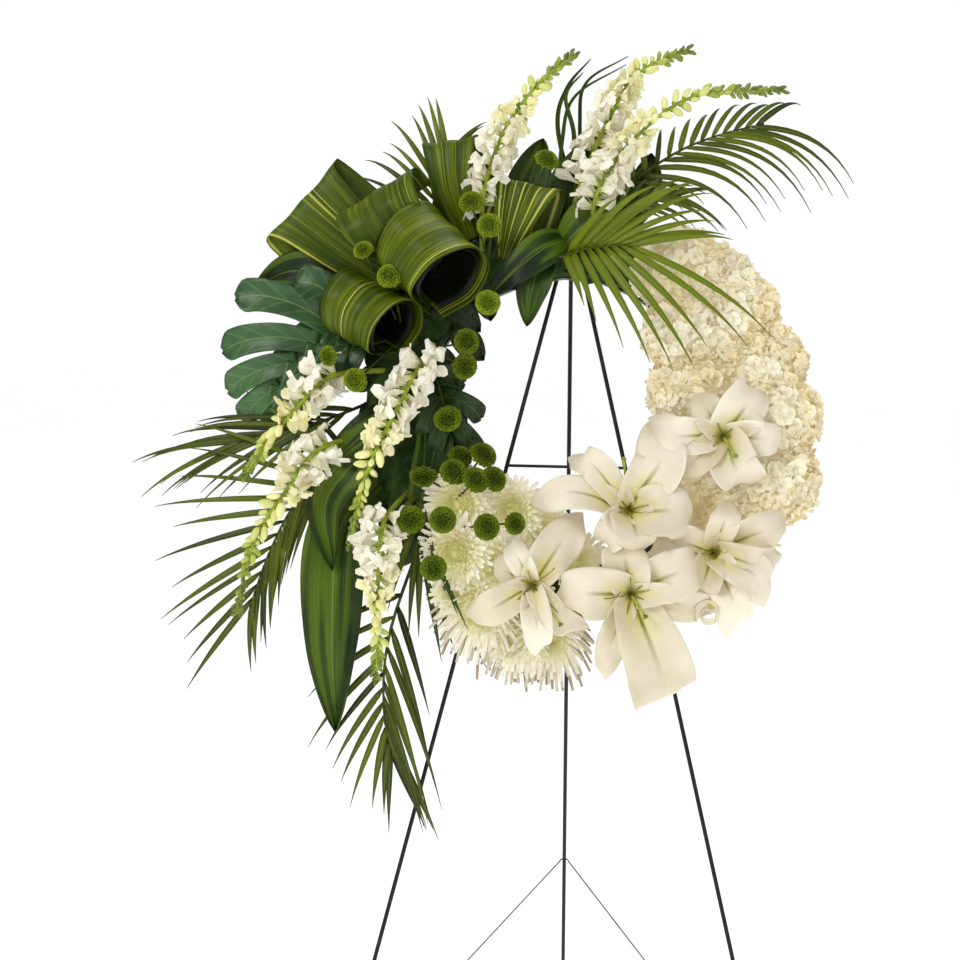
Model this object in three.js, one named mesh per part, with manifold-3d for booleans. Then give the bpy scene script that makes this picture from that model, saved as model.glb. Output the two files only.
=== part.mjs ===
// A standing funeral wreath: a foam ring covered with flowers and greenery, hung on a folding wire easel.
// Millimetres, +X to the viewer's right, +Y away from the viewer, +Z up. It stands on the plane z = 0.
import * as THREE from "three";
import { mergeVertices } from "three/addons/utils/BufferGeometryUtils.js";
import Module from "manifold-3d";

const { lerp, degToRad } = THREE.MathUtils;
const library = await Module();
library.setup();

// ---- driving dimensions ----------------------------------------------------------------------

const GAP = 0.4; // left between pieces that touch

// Easel. The two front legs lean back to a hinge pin at the top, and the rear leg swings on that pin.
const LEG_RADIUS = 3.25;
const HINGE_HEIGHT = 1460;
const HINGE_BACK = 205; // hinge pin behind the front feet
const FRONT_HALF_SPREAD = 366; // front foot from the middle
const FRONT_TOP_HALF = 10; // front leg from the middle, at the pin
const REAR_FOOT_BACK = 700; // rear foot behind the front feet
const PIN_RADIUS = 3;
const PIN_HALF_LENGTH = 23;
const PIN_HEAD_RADIUS = 5.5;
const PIN_HEAD_LENGTH = 3;
const PIN_CLEARANCE = 0.5; // round the pin, in a leg's eye
const CROSSBAR_RADIUS = 2.25;
const CROSSBAR_DOWN = 325; // crossbar below the pin, along the legs
const BRACE_RADIUS = 1.35;
const BRACE_DOWN_FRONT = 1269; // brace pivots below the pin, along the front legs
const BRACE_DOWN_REAR = 1099; // brace loop below the pin, along the rear leg
const BRACE_LOOP_RADIUS = 8;
const EYE_RADIUS = 3.8; // ring on each front leg that holds the brace, to the middle of its wire
const EYE_WIRE = 1.6;
const BRACE_STUB = 5; // brace wire past each side of the ring
const PAST_GROUND = 20; // legs run below the ground before they are cut off level with it

// Wreath. Its own frame has x to the right, z up its face and y out of its back.
const RING_RADIUS = 253; // to the middle of the foam
const FOAM_HALF_WIDTH = 43;
const FOAM_BACK = 3;
const FOAM_FRONT = 60;
const RING_SEGMENTS = 24;
const TRAY_WALL = 2;
const TRAY_DEPTH = 20;
const WREATH_LEFT = -4; // ring centre from the middle of the easel
const WREATH_TURN = degToRad(-1.3); // how far the wreath hangs turned
const HANGER_RADIUS = 1.25;
const HANGER_REACH = 34; // from the pin forward into the foam
const HANGER_AT = -16.5; // hanger along the pin, outside the left front leg's eye

// Stems, spikes and leaves.
const LEAF_THICKNESS = 1.6;
const BUTTON_STEM_RADIUS = 1.4;
const PALM_LEAFLET_WIDTH = 13;
const PALM_MIDRIB_RADIUS = 2;
const PALM_THICKNESS = 1.6;
const PALM_PAIRS = 8; // leaflets on each side
const PALM_BARE = 0.25; // share of the midrib without leaflets
const PALM_TIP_SPLAY = 16; // degrees from the midrib to the last leaflets
const SPIKE_RADIUS = 19;
const SPIKE_RINGS = 16;
const SPIKE_SIDES = 7;

// ---- materials -------------------------------------------------------------------------------

const paint = (color, roughness, metalness = 0) =>
  new THREE.MeshStandardMaterial({ color, roughness, metalness });
const MATERIALS = {
  wire: paint(0x0b0c0b, 0.45, 0.6),
  bright_wire: paint(0x8a8f8a, 0.4, 0.9),
  tray: paint(0x1d3a1c, 0.5),
  foam: paint(0x2c4a24, 0.95),
  lily: paint(0xf3ecdc, 0.5),
  hydrangea: paint(0xefe6cf, 0.65),
  mum: paint(0xf1ecc8, 0.6),
  button: paint(0x5b7a14, 0.7),
  snapdragon: paint(0xf0edcf, 0.55),
  aspidistra: paint(0x4d6b12, 0.35),
  monstera: paint(0x1f4a35, 0.35),
  palm: paint(0x24420f, 0.4),
};

// ---- solids ----------------------------------------------------------------------------------

// A closed geometry as a solid that can be joined and cut.
function toSolid(geometry) {
  const bare = new THREE.BufferGeometry();
  bare.setAttribute("position", geometry.getAttribute("position"));
  bare.setIndex(geometry.index);
  const merged = mergeVertices(bare, 1e-3);
  const triangles = [];
  for (let i = 0; i < merged.index.count; i += 3) {
    const [a, b, c] = [0, 1, 2].map((k) => merged.index.getX(i + k));
    if (a !== b && b !== c && c !== a) triangles.push(a, b, c);
  }
  return new library.Manifold(
    new library.Mesh({
      numProp: 3,
      vertProperties: merged.attributes.position.array,
      triVerts: new Uint32Array(triangles),
    }),
  );
}

function toGeometry(solid) {
  const mesh = solid.getMesh();
  const geometry = new THREE.BufferGeometry();
  geometry.setAttribute("position", new THREE.BufferAttribute(mesh.vertProperties, 3));
  geometry.setIndex(new THREE.BufferAttribute(mesh.triVerts, 1));
  return geometry;
}

const join = (geometries) => geometries.map(toSolid).reduce((whole, one) => whole.add(one));

// The biggest piece of a solid, without the slivers that a cut can leave.
const biggest = (solid) =>
  solid.decompose().reduce((a, b) => (b.volume() > a.volume() ? b : a));

// ---- shapes ----------------------------------------------------------------------------------

// A point of the wreath: right of the ring's centre, up its face, and in front of its back.
const at = (right, up, front) => new THREE.Vector3(right, -front, up);
const curveThrough = (points) => new THREE.CatmullRomCurve3(points.map((p) => at(...p)));
const TOWARDS_VIEWER = at(0, 0, 1);

// The point of the foam's middle line that is nearest to a place of the wreath.
function inFoam(right, up) {
  const share = RING_RADIUS / Math.hypot(right, up);
  return at(right * share, up * share, FOAM_FRONT / 2);
}

function roundSection(radius, sides) {
  const corners = Array.from({ length: sides }, (_, i) => {
    const angle = (2 * Math.PI * i) / sides;
    return new THREE.Vector2(radius * Math.cos(angle), radius * Math.sin(angle));
  });
  return new THREE.Shape(corners);
}

// Wire or stem of round section along a curve.
function rod(curve, radius, { sides = 8, steps = 1 } = {}) {
  return new THREE.ExtrudeGeometry(roundSection(radius, sides), {
    extrudePath: curve,
    steps,
  });
}

const straightRod = (from, to, radius, sides = 10) =>
  rod(new THREE.LineCurve3(from, to), radius, { sides });

// A faceted ball of three radii, turned so that its z axis lies along `axis`.
function ball(centre, radii, axis = new THREE.Vector3(0, 0, 1), detail = 1) {
  const turn = new THREE.Quaternion().setFromUnitVectors(
    new THREE.Vector3(0, 0, 1),
    axis.clone().normalize(),
  );
  return new THREE.OctahedronGeometry(1, detail)
    .scale(...radii)
    .applyQuaternion(turn)
    .translate(...centre);
}

// A leaf, petal or leaflet: a thin box bent along its spine, `width` wide at each share of its length.
// `side` points across it, and `cup` lifts its middle line by that share of its width.
function blade({ spine, side, width, thickness, across = 1, along = 4, cup = 0, grow = 0 }) {
  const geometry = new THREE.BoxGeometry(1, 1, 1, across, 1, along);
  const position = geometry.getAttribute("position");
  const [tangent, flat, normal, point] = Array.from({ length: 4 }, () => new THREE.Vector3());
  for (let i = 0; i < position.count; i++) {
    const x = position.getX(i);
    const y = position.getY(i);
    const share = position.getZ(i) + 0.5;
    spine.getPoint(share, point);
    spine.getTangent(share, tangent);
    flat.copy(side).addScaledVector(tangent, -side.dot(tangent)).normalize();
    normal.crossVectors(tangent, flat);
    const wide = width(share);
    point.addScaledVector(tangent, 2 * grow * (share - 0.5));
    point.addScaledVector(flat, x * (wide + 2 * grow));
    point.addScaledVector(normal, y * (thickness + 2 * grow) + cup * wide * (1 - 4 * x * x));
    position.setXYZ(i, point.x, point.y, point.z);
  }
  return geometry;
}

// A thin plate between two layers of one outline, which is a closed loop of points of the wreath,
// anticlockwise as the viewer sees it.
function plate(outline, thickness) {
  const flat = outline.map((p) => new THREE.Vector2(p.x, p.z));
  const count = outline.length;
  const triangles = [];
  for (const [a, b, c] of THREE.ShapeUtils.triangulateShape(flat, [])) {
    triangles.push(a, b, c);
    triangles.push(count + a, count + c, count + b);
  }
  for (let i = 0; i < count; i++) {
    const next = (i + 1) % count;
    triangles.push(i, count + i, count + next);
    triangles.push(i, count + next, next);
  }
  const layer = (offset) => outline.flatMap((p) => [p.x, p.y + offset, p.z]);
  const positions = [...layer(-thickness / 2), ...layer(thickness / 2)];
  const geometry = new THREE.BufferGeometry();
  geometry.setAttribute("position", new THREE.Float32BufferAttribute(positions, 3));
  return geometry.setIndex(triangles);
}

// A closed skin over rings of points, one ring after another along its length.
function skin(rings) {
  const sides = rings[0].length;
  const last = (rings.length - 1) * sides;
  const triangles = [];
  for (let ring = 0; ring < rings.length - 1; ring++)
    for (let i = 0; i < sides; i++) {
      const a = ring * sides + i;
      const b = ring * sides + ((i + 1) % sides);
      triangles.push(a, b, a + sides);
      triangles.push(b, b + sides, a + sides);
    }
  for (let i = 1; i < sides - 1; i++) {
    triangles.push(0, i + 1, i);
    triangles.push(last, last + i, last + i + 1);
  }
  const positions = rings.flat().flatMap((p) => [p.x, p.y, p.z]);
  const geometry = new THREE.BufferGeometry();
  geometry.setAttribute("position", new THREE.Float32BufferAttribute(positions, 3));
  return geometry.setIndex(triangles);
}

// ---- easel -----------------------------------------------------------------------------------

const easel = new THREE.Group();
const X = new THREE.Vector3(1, 0, 0);
const hinge = new THREE.Vector3(0, HINGE_BACK, HINGE_HEIGHT);
const frontDown = new THREE.Vector3(0, -HINGE_BACK, -HINGE_HEIGHT).normalize();
const frontLength = Math.hypot(HINGE_BACK, HINGE_HEIGHT);
const rearFoot = new THREE.Vector3(0, REAR_FOOT_BACK, 0);
const rearDown = rearFoot.clone().sub(hinge).normalize();
const behindFront = new THREE.Vector3(0, HINGE_HEIGHT, -HINGE_BACK).normalize();

// A point of a front leg's middle line, so far below the pin along the easel's face.
function onFrontLeg(sign, down) {
  const half = lerp(FRONT_TOP_HALF, FRONT_HALF_SPREAD, down / frontLength);
  return hinge.clone().addScaledVector(frontDown, down).setX(sign * half);
}

const ground = toSolid(new THREE.BoxGeometry(3000, 3000, 200).translate(0, 0, -100));

// ---- assembly --------------------------------------------------------------------------------

const placed = [];
const root = new THREE.Group();
root.name = "funeral_wreath";
root.add(easel);

// Adds a node made by `build`, whose argument is how much fatter to make it. It is cut clear of what
// is already there, and a later piece is cut clear of it.
function addNode(group, name, material, build) {
  let solid = build(0);
  const cutter = build(GAP);
  const box = cutter.boundingBox();
  const meets = (other) =>
    [0, 1, 2].every((k) => box.min[k] < other.box.max[k] && box.max[k] > other.box.min[k]);
  for (const other of placed.filter((one) => one.group === group && meets(one)))
    solid = solid.subtract(other.cutter);
  placed.push({ group, cutter, box });
  const mesh = new THREE.Mesh(toGeometry(biggest(solid)), MATERIALS[material]);
  mesh.name = name;
  group.add(mesh);
  return mesh;
}

// The hinge pin has a head at each end, outside the front legs' eyes.
addNode(easel, "hinge_pin", "wire", (grow) => {
  const shaft = straightRod(
    hinge.clone().setX(-PIN_HALF_LENGTH),
    hinge.clone().setX(PIN_HALF_LENGTH),
    PIN_RADIUS + grow,
    12,
  );
  const heads = [-1, 1].map((sign) =>
    straightRod(
      hinge.clone().setX(sign * (PIN_HALF_LENGTH + grow)),
      hinge.clone().setX(sign * (PIN_HALF_LENGTH - PIN_HEAD_LENGTH - grow)),
      PIN_HEAD_RADIUS + grow,
      12,
    ),
  );
  return join([shaft, ...heads]);
});

const legEye = PIN_RADIUS + PIN_CLEARANCE + LEG_RADIUS; // to the middle of the wire of a leg's eye

// A leg of the easel: an eye round the pin, and a straight wire that is cut off level with the ground.
function legGeometries(foot, grow) {
  const middle = hinge.clone().setX(foot.x === 0 ? 0 : Math.sign(foot.x) * FRONT_TOP_HALF);
  const eye = new THREE.TorusGeometry(legEye, LEG_RADIUS + grow, 6, 14)
    .rotateY(Math.PI / 2)
    .translate(...middle);
  const down = foot.clone().sub(middle).normalize();
  const top = middle.clone().addScaledVector(down, legEye);
  const end = foot.clone().addScaledVector(down, PAST_GROUND);
  return [eye, straightRod(top, end, LEG_RADIUS + grow)];
}

addNode(easel, "rear_leg", "wire", (grow) => join(legGeometries(rearFoot, grow)).subtract(ground));

// The brace turns in a small ring welded on the back of each front leg.
const bracePivot = (sign) =>
  onFrontLeg(sign, BRACE_DOWN_FRONT).addScaledVector(behindFront, LEG_RADIUS + EYE_RADIUS);

for (const [name, sign] of [["left_front_leg", -1], ["right_front_leg", 1]])
  addNode(easel, name, "wire", (grow) => {
    const ring = new THREE.TorusGeometry(EYE_RADIUS, EYE_WIRE + grow, 5, 10)
      .rotateY(Math.PI / 2)
      .translate(...bracePivot(sign));
    return join([...legGeometries(onFrontLeg(sign, frontLength), grow), ring]).subtract(ground);
  });

addNode(easel, "crossbar", "wire", (grow) =>
  toSolid(
    straightRod(onFrontLeg(-1, CROSSBAR_DOWN), onFrontLeg(1, CROSSBAR_DOWN), CROSSBAR_RADIUS + grow, 8),
  ),
);

// The brace is bent from one wire: an arm from each front leg's ring to a loop behind the rear leg.
const braceRear = hinge.clone().addScaledVector(rearDown, BRACE_DOWN_REAR);
const braceOut = braceRear.clone().sub(bracePivot(1).setX(0)).normalize();
const braceTip = (sign) => braceRear.clone().addScaledVector(X, sign * BRACE_LOOP_RADIUS);

addNode(easel, "brace_loop", "bright_wire", (grow) => {
  const bend = new THREE.EllipseCurve(0, 0, BRACE_LOOP_RADIUS, BRACE_LOOP_RADIUS, 0, Math.PI);
  const points = bend
    .getPoints(8)
    .map((p) => braceRear.clone().addScaledVector(X, p.x).addScaledVector(braceOut, p.y));
  const curve = new THREE.CatmullRomCurve3(points);
  return toSolid(rod(curve, BRACE_RADIUS + grow, { sides: 6, steps: 8 }));
});

for (const [name, sign] of [["brace_left_arm", -1], ["brace_right_arm", 1]])
  addNode(easel, name, "bright_wire", (grow) => {
    const outer = bracePivot(sign).addScaledVector(X, sign * BRACE_STUB);
    const inner = bracePivot(sign).addScaledVector(X, -sign * BRACE_STUB);
    const radius = BRACE_RADIUS + grow;
    return join([
      straightRod(outer, inner, radius, 6),
      straightRod(inner, braceTip(sign), radius, 6),
      ball(inner, [radius, radius, radius]),
    ]);
  });

// ---- wreath ----------------------------------------------------------------------------------

// The wreath hangs in front of the legs' eyes, and leans on the legs with the bottom of its tray.
const trayOuter = FOAM_HALF_WIDTH + GAP + TRAY_WALL;
const topClear = legEye + LEG_RADIUS + 1;
const bottomClear = LEG_RADIUS + GAP;
const extraLean = Math.atan2(topClear - bottomClear, 2 * RING_RADIUS + trayOuter);
const wreath = new THREE.Group();
wreath.rotation.set(-Math.atan2(HINGE_BACK, HINGE_HEIGHT) + extraLean, WREATH_TURN, 0);
wreath.position
  .copy(hinge)
  .addScaledVector(frontDown, RING_RADIUS)
  .addScaledVector(behindFront, -lerp(topClear, bottomClear, RING_RADIUS / (2 * RING_RADIUS + trayOuter)))
  .setX(WREATH_LEFT);
root.add(wreath);

// A numbered node of the wreath for each of several alike.
function addEach(name, all, material, build) {
  all.forEach((one, i) => addNode(wreath, `${name}_${i + 1}`, material, (grow) => build(one, grow)));
}

const latheRing = (profile) =>
  new THREE.LatheGeometry(
    [...profile, profile[0]].map(([out, front]) => new THREE.Vector2(RING_RADIUS + out, -front)),
    RING_SEGMENTS,
  );

// Hairpin from the foam, back round the hinge pin. It is placed in the wreath's own frame.
wreath.updateMatrixWorld(true);
const pinInWreath = wreath.worldToLocal(hinge.clone().setX(HANGER_AT));
const hangerBend = PIN_RADIUS + HANGER_RADIUS + 0.6;
addNode(wreath, "hanger_staple", "bright_wire", (grow) => {
  const bend = new THREE.EllipseCurve(0, 0, hangerBend, hangerBend, Math.PI / 2, -Math.PI / 2, true);
  const outline = [
    [-HANGER_REACH, hangerBend],
    ...bend.getPoints(6).map((p) => [p.x, p.y]),
    [-HANGER_REACH, -hangerBend],
  ];
  const points = outline.map(([back, up]) => pinInWreath.clone().add(new THREE.Vector3(0, back, up)));
  const curve = new THREE.CatmullRomCurve3(points, false, "centripetal");
  return toSolid(rod(curve, HANGER_RADIUS + grow, { sides: 5, steps: 14 }));
});

addNode(wreath, "tray_ring", "tray", (grow) => {
  const outer = trayOuter + grow;
  const inner = FOAM_HALF_WIDTH + GAP - grow;
  return toSolid(
    latheRing([
      [-outer, -grow],
      [-outer, TRAY_DEPTH + grow],
      [-inner, TRAY_DEPTH + grow],
      [-inner, TRAY_WALL + grow],
      [inner, TRAY_WALL + grow],
      [inner, TRAY_DEPTH + grow],
      [outer, TRAY_DEPTH + grow],
      [outer, -grow],
    ]),
  );
});

addNode(wreath, "foam_ring", "foam", (grow) => {
  const half = FOAM_HALF_WIDTH + grow;
  const back = FOAM_BACK - grow;
  const front = FOAM_FRONT + grow;
  return toSolid(
    latheRing([
      [-half, back],
      [-half, front - 22],
      [-half + 14, front - 5],
      [0, front],
      [half - 14, front - 5],
      [half, front - 22],
      [half, back],
    ]),
  );
});

// Green button mums: [right, up, front, radius] of each head, and where the spray's stem leaves the foam.
const BUTTON_SPRAYS = [
  {
    from: [-235, 120, 58],
    heads: [[-286, 236, 140, 14], [-246, 196, 158, 17], [-338, 84, 128, 14], [-298, 48, 132, 17]],
  },
  {
    from: [-110, 225, 58],
    heads: [[-104, 270, 140, 17], [-132, 308, 118, 17], [-22, 366, 128, 17], [-106, 158, 140, 17]],
  },
  {
    from: [-200, 100, 55],
    heads: [[-138, 106, 108, 18], [-141, 70, 104, 18], [-164, -8, 128, 19], [-200, -90, 118, 19]],
  },
  {
    from: [-200, -160, 58],
    heads: [
      [-147, -60, 110, 17], [-113, -58, 118, 19], [-155, -83, 128, 19], [-122, -95, 138, 18],
      [-97, -93, 125, 18], [-168, -153, 160, 18], [-105, -163, 160, 18], [-65, -158, 158, 15],
      [-217, -152, 130, 19], [-182, -222, 150, 18],
    ],
  },
];

// Heads on thin stems that branch from one point in the foam.
function buttonSpray({ from, heads }, grow) {
  const fork = at(...from);
  const parts = heads.flatMap(([right, up, front, radius]) => {
    const centre = at(right, up, front);
    const size = radius + grow;
    const facing = at(right - from[0], up - from[1], 2 * (front - from[2]));
    return [
      straightRod(fork, centre, BUTTON_STEM_RADIUS + grow, 4),
      ball(centre, [size, size, size * 0.75], facing),
    ];
  });
  return join(parts);
}
addEach("button_spray", BUTTON_SPRAYS, "button", buttonSpray);

// Lilies: the throat's place, and each petal as [right, up, front, width] of its tip from the throat.
const LILIES = [
  {
    name: "lily_front",
    throat: [98, -258, 126],
    petals: [
      [-100, -12, 12, 80], [-10, 100, 4, 72], [100, 44, 10, 82],
      [120, -34, 2, 56], [50, -142, 6, 88], [-38, -122, -2, 52],
    ],
  },
  {
    name: "lily_left",
    throat: [-43, -246, 116],
    petals: [
      [-92, -48, 8, 62], [-45, 62, 10, 40], [72, 88, -6, 64],
      [86, -56, -8, 46], [2, -98, 8, 52], [-22, 86, -10, 34],
    ],
  },
  {
    name: "lily_middle",
    throat: [96, -138, 110],
    petals: [
      [-80, 66, 22, 50], [42, 118, 16, 80], [-140, 10, 16, 54],
      [96, -8, 22, 74], [-12, -60, 34, 56], [50, -54, 24, 44],
    ],
  },
  {
    name: "lily_top",
    throat: [230, -32, 122],
    petals: [
      [-92, 10, 8, 60], [-26, 60, 6, 50], [58, 60, 4, 58],
      [88, 2, 4, 48], [24, -82, 8, 68], [-64, -46, -2, 46],
    ],
  },
  {
    name: "lily_right",
    throat: [200, -178, 106],
    petals: [
      [128, 28, 26, 50], [96, -84, 40, 68], [42, -140, 24, 60],
      [8, -90, 34, 50], [40, 32, 30, 40], [86, -28, 52, 50],
    ],
  },
];

const petalWidth = (wide) => (share) => 6 + wide * Math.sin(Math.PI * share ** 0.85) ** 0.8 * 0.9;

// A petal rises from the throat towards the viewer, then arches over to its tip.
function petal([right, up, front, wide], throat, grow) {
  const outward = at(right, up, 0);
  const spine = new THREE.CubicBezierCurve3(
    throat.clone().addScaledVector(outward.clone().normalize(), 6),
    throat.clone().addScaledVector(outward, 0.22).add(at(0, 0, 26)),
    throat.clone().addScaledVector(outward, 0.72).add(at(0, 0, front + 22)),
    throat.clone().add(at(right, up, front)),
  );
  const side = outward.clone().cross(TOWARDS_VIEWER);
  return blade({ spine, side, width: petalWidth(wide), thickness: 3, across: 2, along: 3, cup: -0.07, grow });
}

function lily({ throat, petals }, grow) {
  const middle = at(...throat);
  const throatBack = middle.clone().add(at(0, 0, -24));
  return join([
    straightRod(throatBack, middle.clone().add(at(0, 0, 10)), 10 + grow, 6),
    straightRod(inFoam(throat[0], throat[1]), throatBack, 3.5 + grow, 5),
    straightRod(middle, middle.clone().add(at(8, -12, 58)), 2 + grow, 4),
    ...petals.map((one) => petal(one, middle, grow)),
  ]);
}
LILIES.forEach((one) => addNode(wreath, one.name, "lily", (grow) => lily(one, grow)));

// Leaves bent into loops. Each has the points of its middle line, the direction across it, and its
// width where it is gathered and where it bends.
const rolled = ({ foot, centre, axis, radius, start, sweep }) => {
  const along = at(...axis).normalize();
  const first = TOWARDS_VIEWER.clone().cross(along).normalize();
  const second = along.clone().cross(first);
  const turn = Array.from({ length: 7 }, (_, i) => {
    const angle = degToRad(start + (sweep * i) / 6);
    return at(...centre)
      .addScaledVector(first, radius * Math.cos(angle))
      .addScaledVector(second, radius * Math.sin(angle));
  });
  return [at(...foot), ...turn];
};
const folded = (points) => points.map((p) => at(...p));

const LEAF_LOOPS = [
  {
    name: "leaf_loop_front",
    across: [0.6, -0.65, 0.45],
    width: [44, 126],
    line: rolled({
      foot: [-205, 165, 56],
      centre: [-192, 224, 124],
      axis: [0.6, -0.65, 0.45],
      radius: 60,
      start: 200,
      sweep: -335,
    }),
  },
  {
    name: "leaf_loop_lower",
    across: [0.76, -0.46, 0.45],
    width: [44, 126],
    line: rolled({
      foot: [-242, 112, 56],
      centre: [-282, 146, 104],
      axis: [0.76, -0.46, 0.45],
      radius: 48,
      start: 215,
      sweep: -330,
    }),
  },
  {
    name: "leaf_loop_middle",
    across: [0.86, 0.43, 0.26],
    width: [50, 136],
    line: rolled({
      foot: [-222, 215, 56],
      centre: [-254, 294, 88],
      axis: [0.86, 0.43, 0.26],
      radius: 40,
      start: 235,
      sweep: -300,
    }),
  },
  {
    name: "leaf_loop_outer",
    across: [0.66, 0.75, 0],
    width: [60, 172],
    line: folded([
      [-236, 198, 48], [-306, 252, 66], [-376, 312, 70], [-388, 322, 58], [-376, 312, 46],
      [-300, 246, 40], [-240, 190, 36],
    ]),
  },
  {
    name: "leaf_loop_top",
    across: [0.97, 0.12, 0.2],
    width: [36, 96],
    line: folded([
      [-138, 262, 56], [-160, 330, 84], [-166, 392, 86], [-166, 406, 72], [-160, 388, 54], [-144, 310, 44],
      [-136, 262, 44],
    ]),
  },
  {
    name: "leaf_loop_striped",
    across: [0.96, -0.26, 0.08],
    width: [20, 118],
    line: folded([
      [-88, 232, 66], [-72, 282, 96], [-56, 330, 104], [-52, 338, 90], [-58, 320, 66], [-84, 246, 54],
    ]),
  },
];

function leafLoop({ across, width, line }, grow) {
  const [gathered, open] = width;
  return toSolid(
    blade({
      spine: new THREE.CatmullRomCurve3(line),
      side: at(...across),
      width: (share) => lerp(gathered, open, Math.sin(Math.PI * Math.min(1, 1.3 * share) * 0.5)),
      thickness: LEAF_THICKNESS,
      across: 1,
      along: 16,
      grow,
    }),
  );
}
LEAF_LOOPS.forEach((one) => addNode(wreath, one.name, "aspidistra", (grow) => leafLoop(one, grow)));

// Snapdragons: points of the stem, from the foam to the tip of the spike.
const SNAPDRAGONS = [
  {
    line: [[-262, 70, 50], [-335, 56, 112], [-388, 4, 124], [-430, -42, 114], [-464, -88, 98]],
    open: 0.5,
  },
  {
    line: [[-268, -20, 50], [-352, -50, 112], [-398, -110, 124], [-446, -184, 118], [-476, -290, 94]],
    open: 0.5,
  },
  {
    line: [[-190, 105, 70], [-206, 62, 146], [-244, -12, 152], [-280, -88, 140], [-306, -188, 118]],
    open: 0.6,
  },
  {
    line: [[-228, -110, 58], [-256, -156, 128], [-262, -226, 138], [-264, -300, 128], [-268, -382, 108]],
    open: 0.6,
  },
  {
    line: [[-120, 245, 56], [-116, 320, 86], [-90, 402, 104], [-46, 472, 96], [14, 530, 76]],
    open: 0.62,
  },
  {
    line: [[0, 262, 50], [36, 362, 92], [72, 440, 98], [112, 500, 92], [184, 536, 72]],
    open: 0.66,
  },
  {
    line: [[40, 255, 56], [50, 318, 112], [98, 390, 122], [186, 456, 116], [318, 472, 84]],
    open: 0.56,
  },
];

// A spike: a stem that swells into whorls of open flowers, then tapers through its buds.
function snapdragon({ line, open }, grow) {
  const stem = curveThrough(line);
  const across = new THREE.Vector3();
  const up = new THREE.Vector3();
  const rings = [];
  for (let ring = 0; ring <= SPIKE_RINGS; ring++) {
    const share = ring / SPIKE_RINGS;
    const middle = stem.getPoint(share);
    const tangent = stem.getTangent(share);
    across.crossVectors(tangent, TOWARDS_VIEWER).normalize();
    up.crossVectors(tangent, across);
    const flowers = share < open ? SPIKE_RADIUS : lerp(SPIKE_RADIUS * 0.62, 3, (share - open) / (1 - open));
    const radius = (share < 0.15 ? 3 : flowers) + grow;
    const corners = [];
    for (let i = 0; i < SPIKE_SIDES; i++) {
      const angle = (2 * Math.PI * i) / SPIKE_SIDES;
      const lobe = radius * (1 + 0.25 * Math.cos(2 * angle + Math.PI * ring));
      corners.push(
        middle
          .clone()
          .addScaledVector(across, lobe * Math.cos(angle))
          .addScaledVector(up, lobe * Math.sin(angle)),
      );
    }
    rings.push(corners);
  }
  return toSolid(skin(rings));
}
addEach("snapdragon", SNAPDRAGONS, "snapdragon", snapdragon);

// White mums and hydrangea heads: [right, up, front, radius].
const WHITE_MUMS = [
  [-152, -128, 92, 52], [-74, -138, 84, 48], [-155, -200, 100, 54], [-92, -218, 98, 50],
  [-120, -284, 76, 66], [-22, -322, 68, 60],
];
const HYDRANGEAS = [
  [172, 210, 70, 62], [250, 152, 70, 60], [292, 78, 68, 58], [312, -4, 66, 60],
  [308, -96, 68, 62], [184, 40, 72, 60], [176, 122, 76, 58],
];

// A head of petals: a faceted dome, ridged by its petals.
function head([right, up, front, radius], ridges, grow) {
  const outward = at(right, up, 0).normalize().multiplyScalar(0.35).add(at(0, 0, 1));
  const geometry = ball(new THREE.Vector3(), [1, 1, 1], outward, 2);
  const position = geometry.getAttribute("position");
  const point = new THREE.Vector3();
  for (let i = 0; i < position.count; i++) {
    point.fromBufferAttribute(position, i);
    const ripple = 1 + ridges * Math.sin(7 * point.x + 2) * Math.sin(8 * point.y) * Math.sin(7 * point.z);
    point.multiplyScalar(radius * ripple + grow);
    position.setXYZ(i, point.x, point.y, point.z);
  }
  return toSolid(geometry.translate(...at(right, up, front)));
}
addEach("white_mum", WHITE_MUMS, "mum", (one, grow) => head(one, 0.08, grow));
addEach("hydrangea", HYDRANGEAS, "hydrangea", (one, grow) => head(one, 0.05, grow));

// Palm fronds: points of the midrib from the foam to the tip, leaflets on each side as how long they
// are and how far the first ones splay from the midrib, and how far the tip of one 200 long hangs.
const PALM_FRONDS = [
  {
    line: [[24, 262, 44], [92, 350, 78], [205, 432, 84], [325, 462, 70]],
    left: [110, 36],
    right: [215, 60],
    hang: 66,
  },
  {
    line: [[36, 255, 56], [78, 318, 92], [140, 345, 100], [205, 338, 92]],
    left: [60, 36],
    right: [140, 34],
    hang: 50,
  },
  {
    line: [[-70, 238, 60], [-24, 236, 112], [46, 246, 120], [130, 252, 112]],
    left: [140, 30],
    right: [215, 76],
    hang: 44,
  },
  {
    line: [[-250, 40, 30], [-360, 4, 44], [-450, -16, 44], [-560, -38, 34]],
    left: [170, 34],
    right: [175, 44],
    hang: 10,
  },
  {
    line: [[-240, -60, 36], [-390, -90, 50], [-452, -180, 50], [-488, -300, 40]],
    left: [130, 38],
    right: [215, 64],
    hang: 26,
  },
  {
    line: [[-205, -165, 40], [-262, -320, 50], [-268, -430, 50], [-246, -515, 40]],
    left: [200, 44],
    right: [190, 44],
    hang: 40,
  },
  {
    line: [[-186, 190, 20], [-186, 290, 26], [-176, 350, 28], [-156, 400, 24]],
    left: [170, 76],
    right: [100, 34],
    hang: -10,
  },
];

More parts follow.
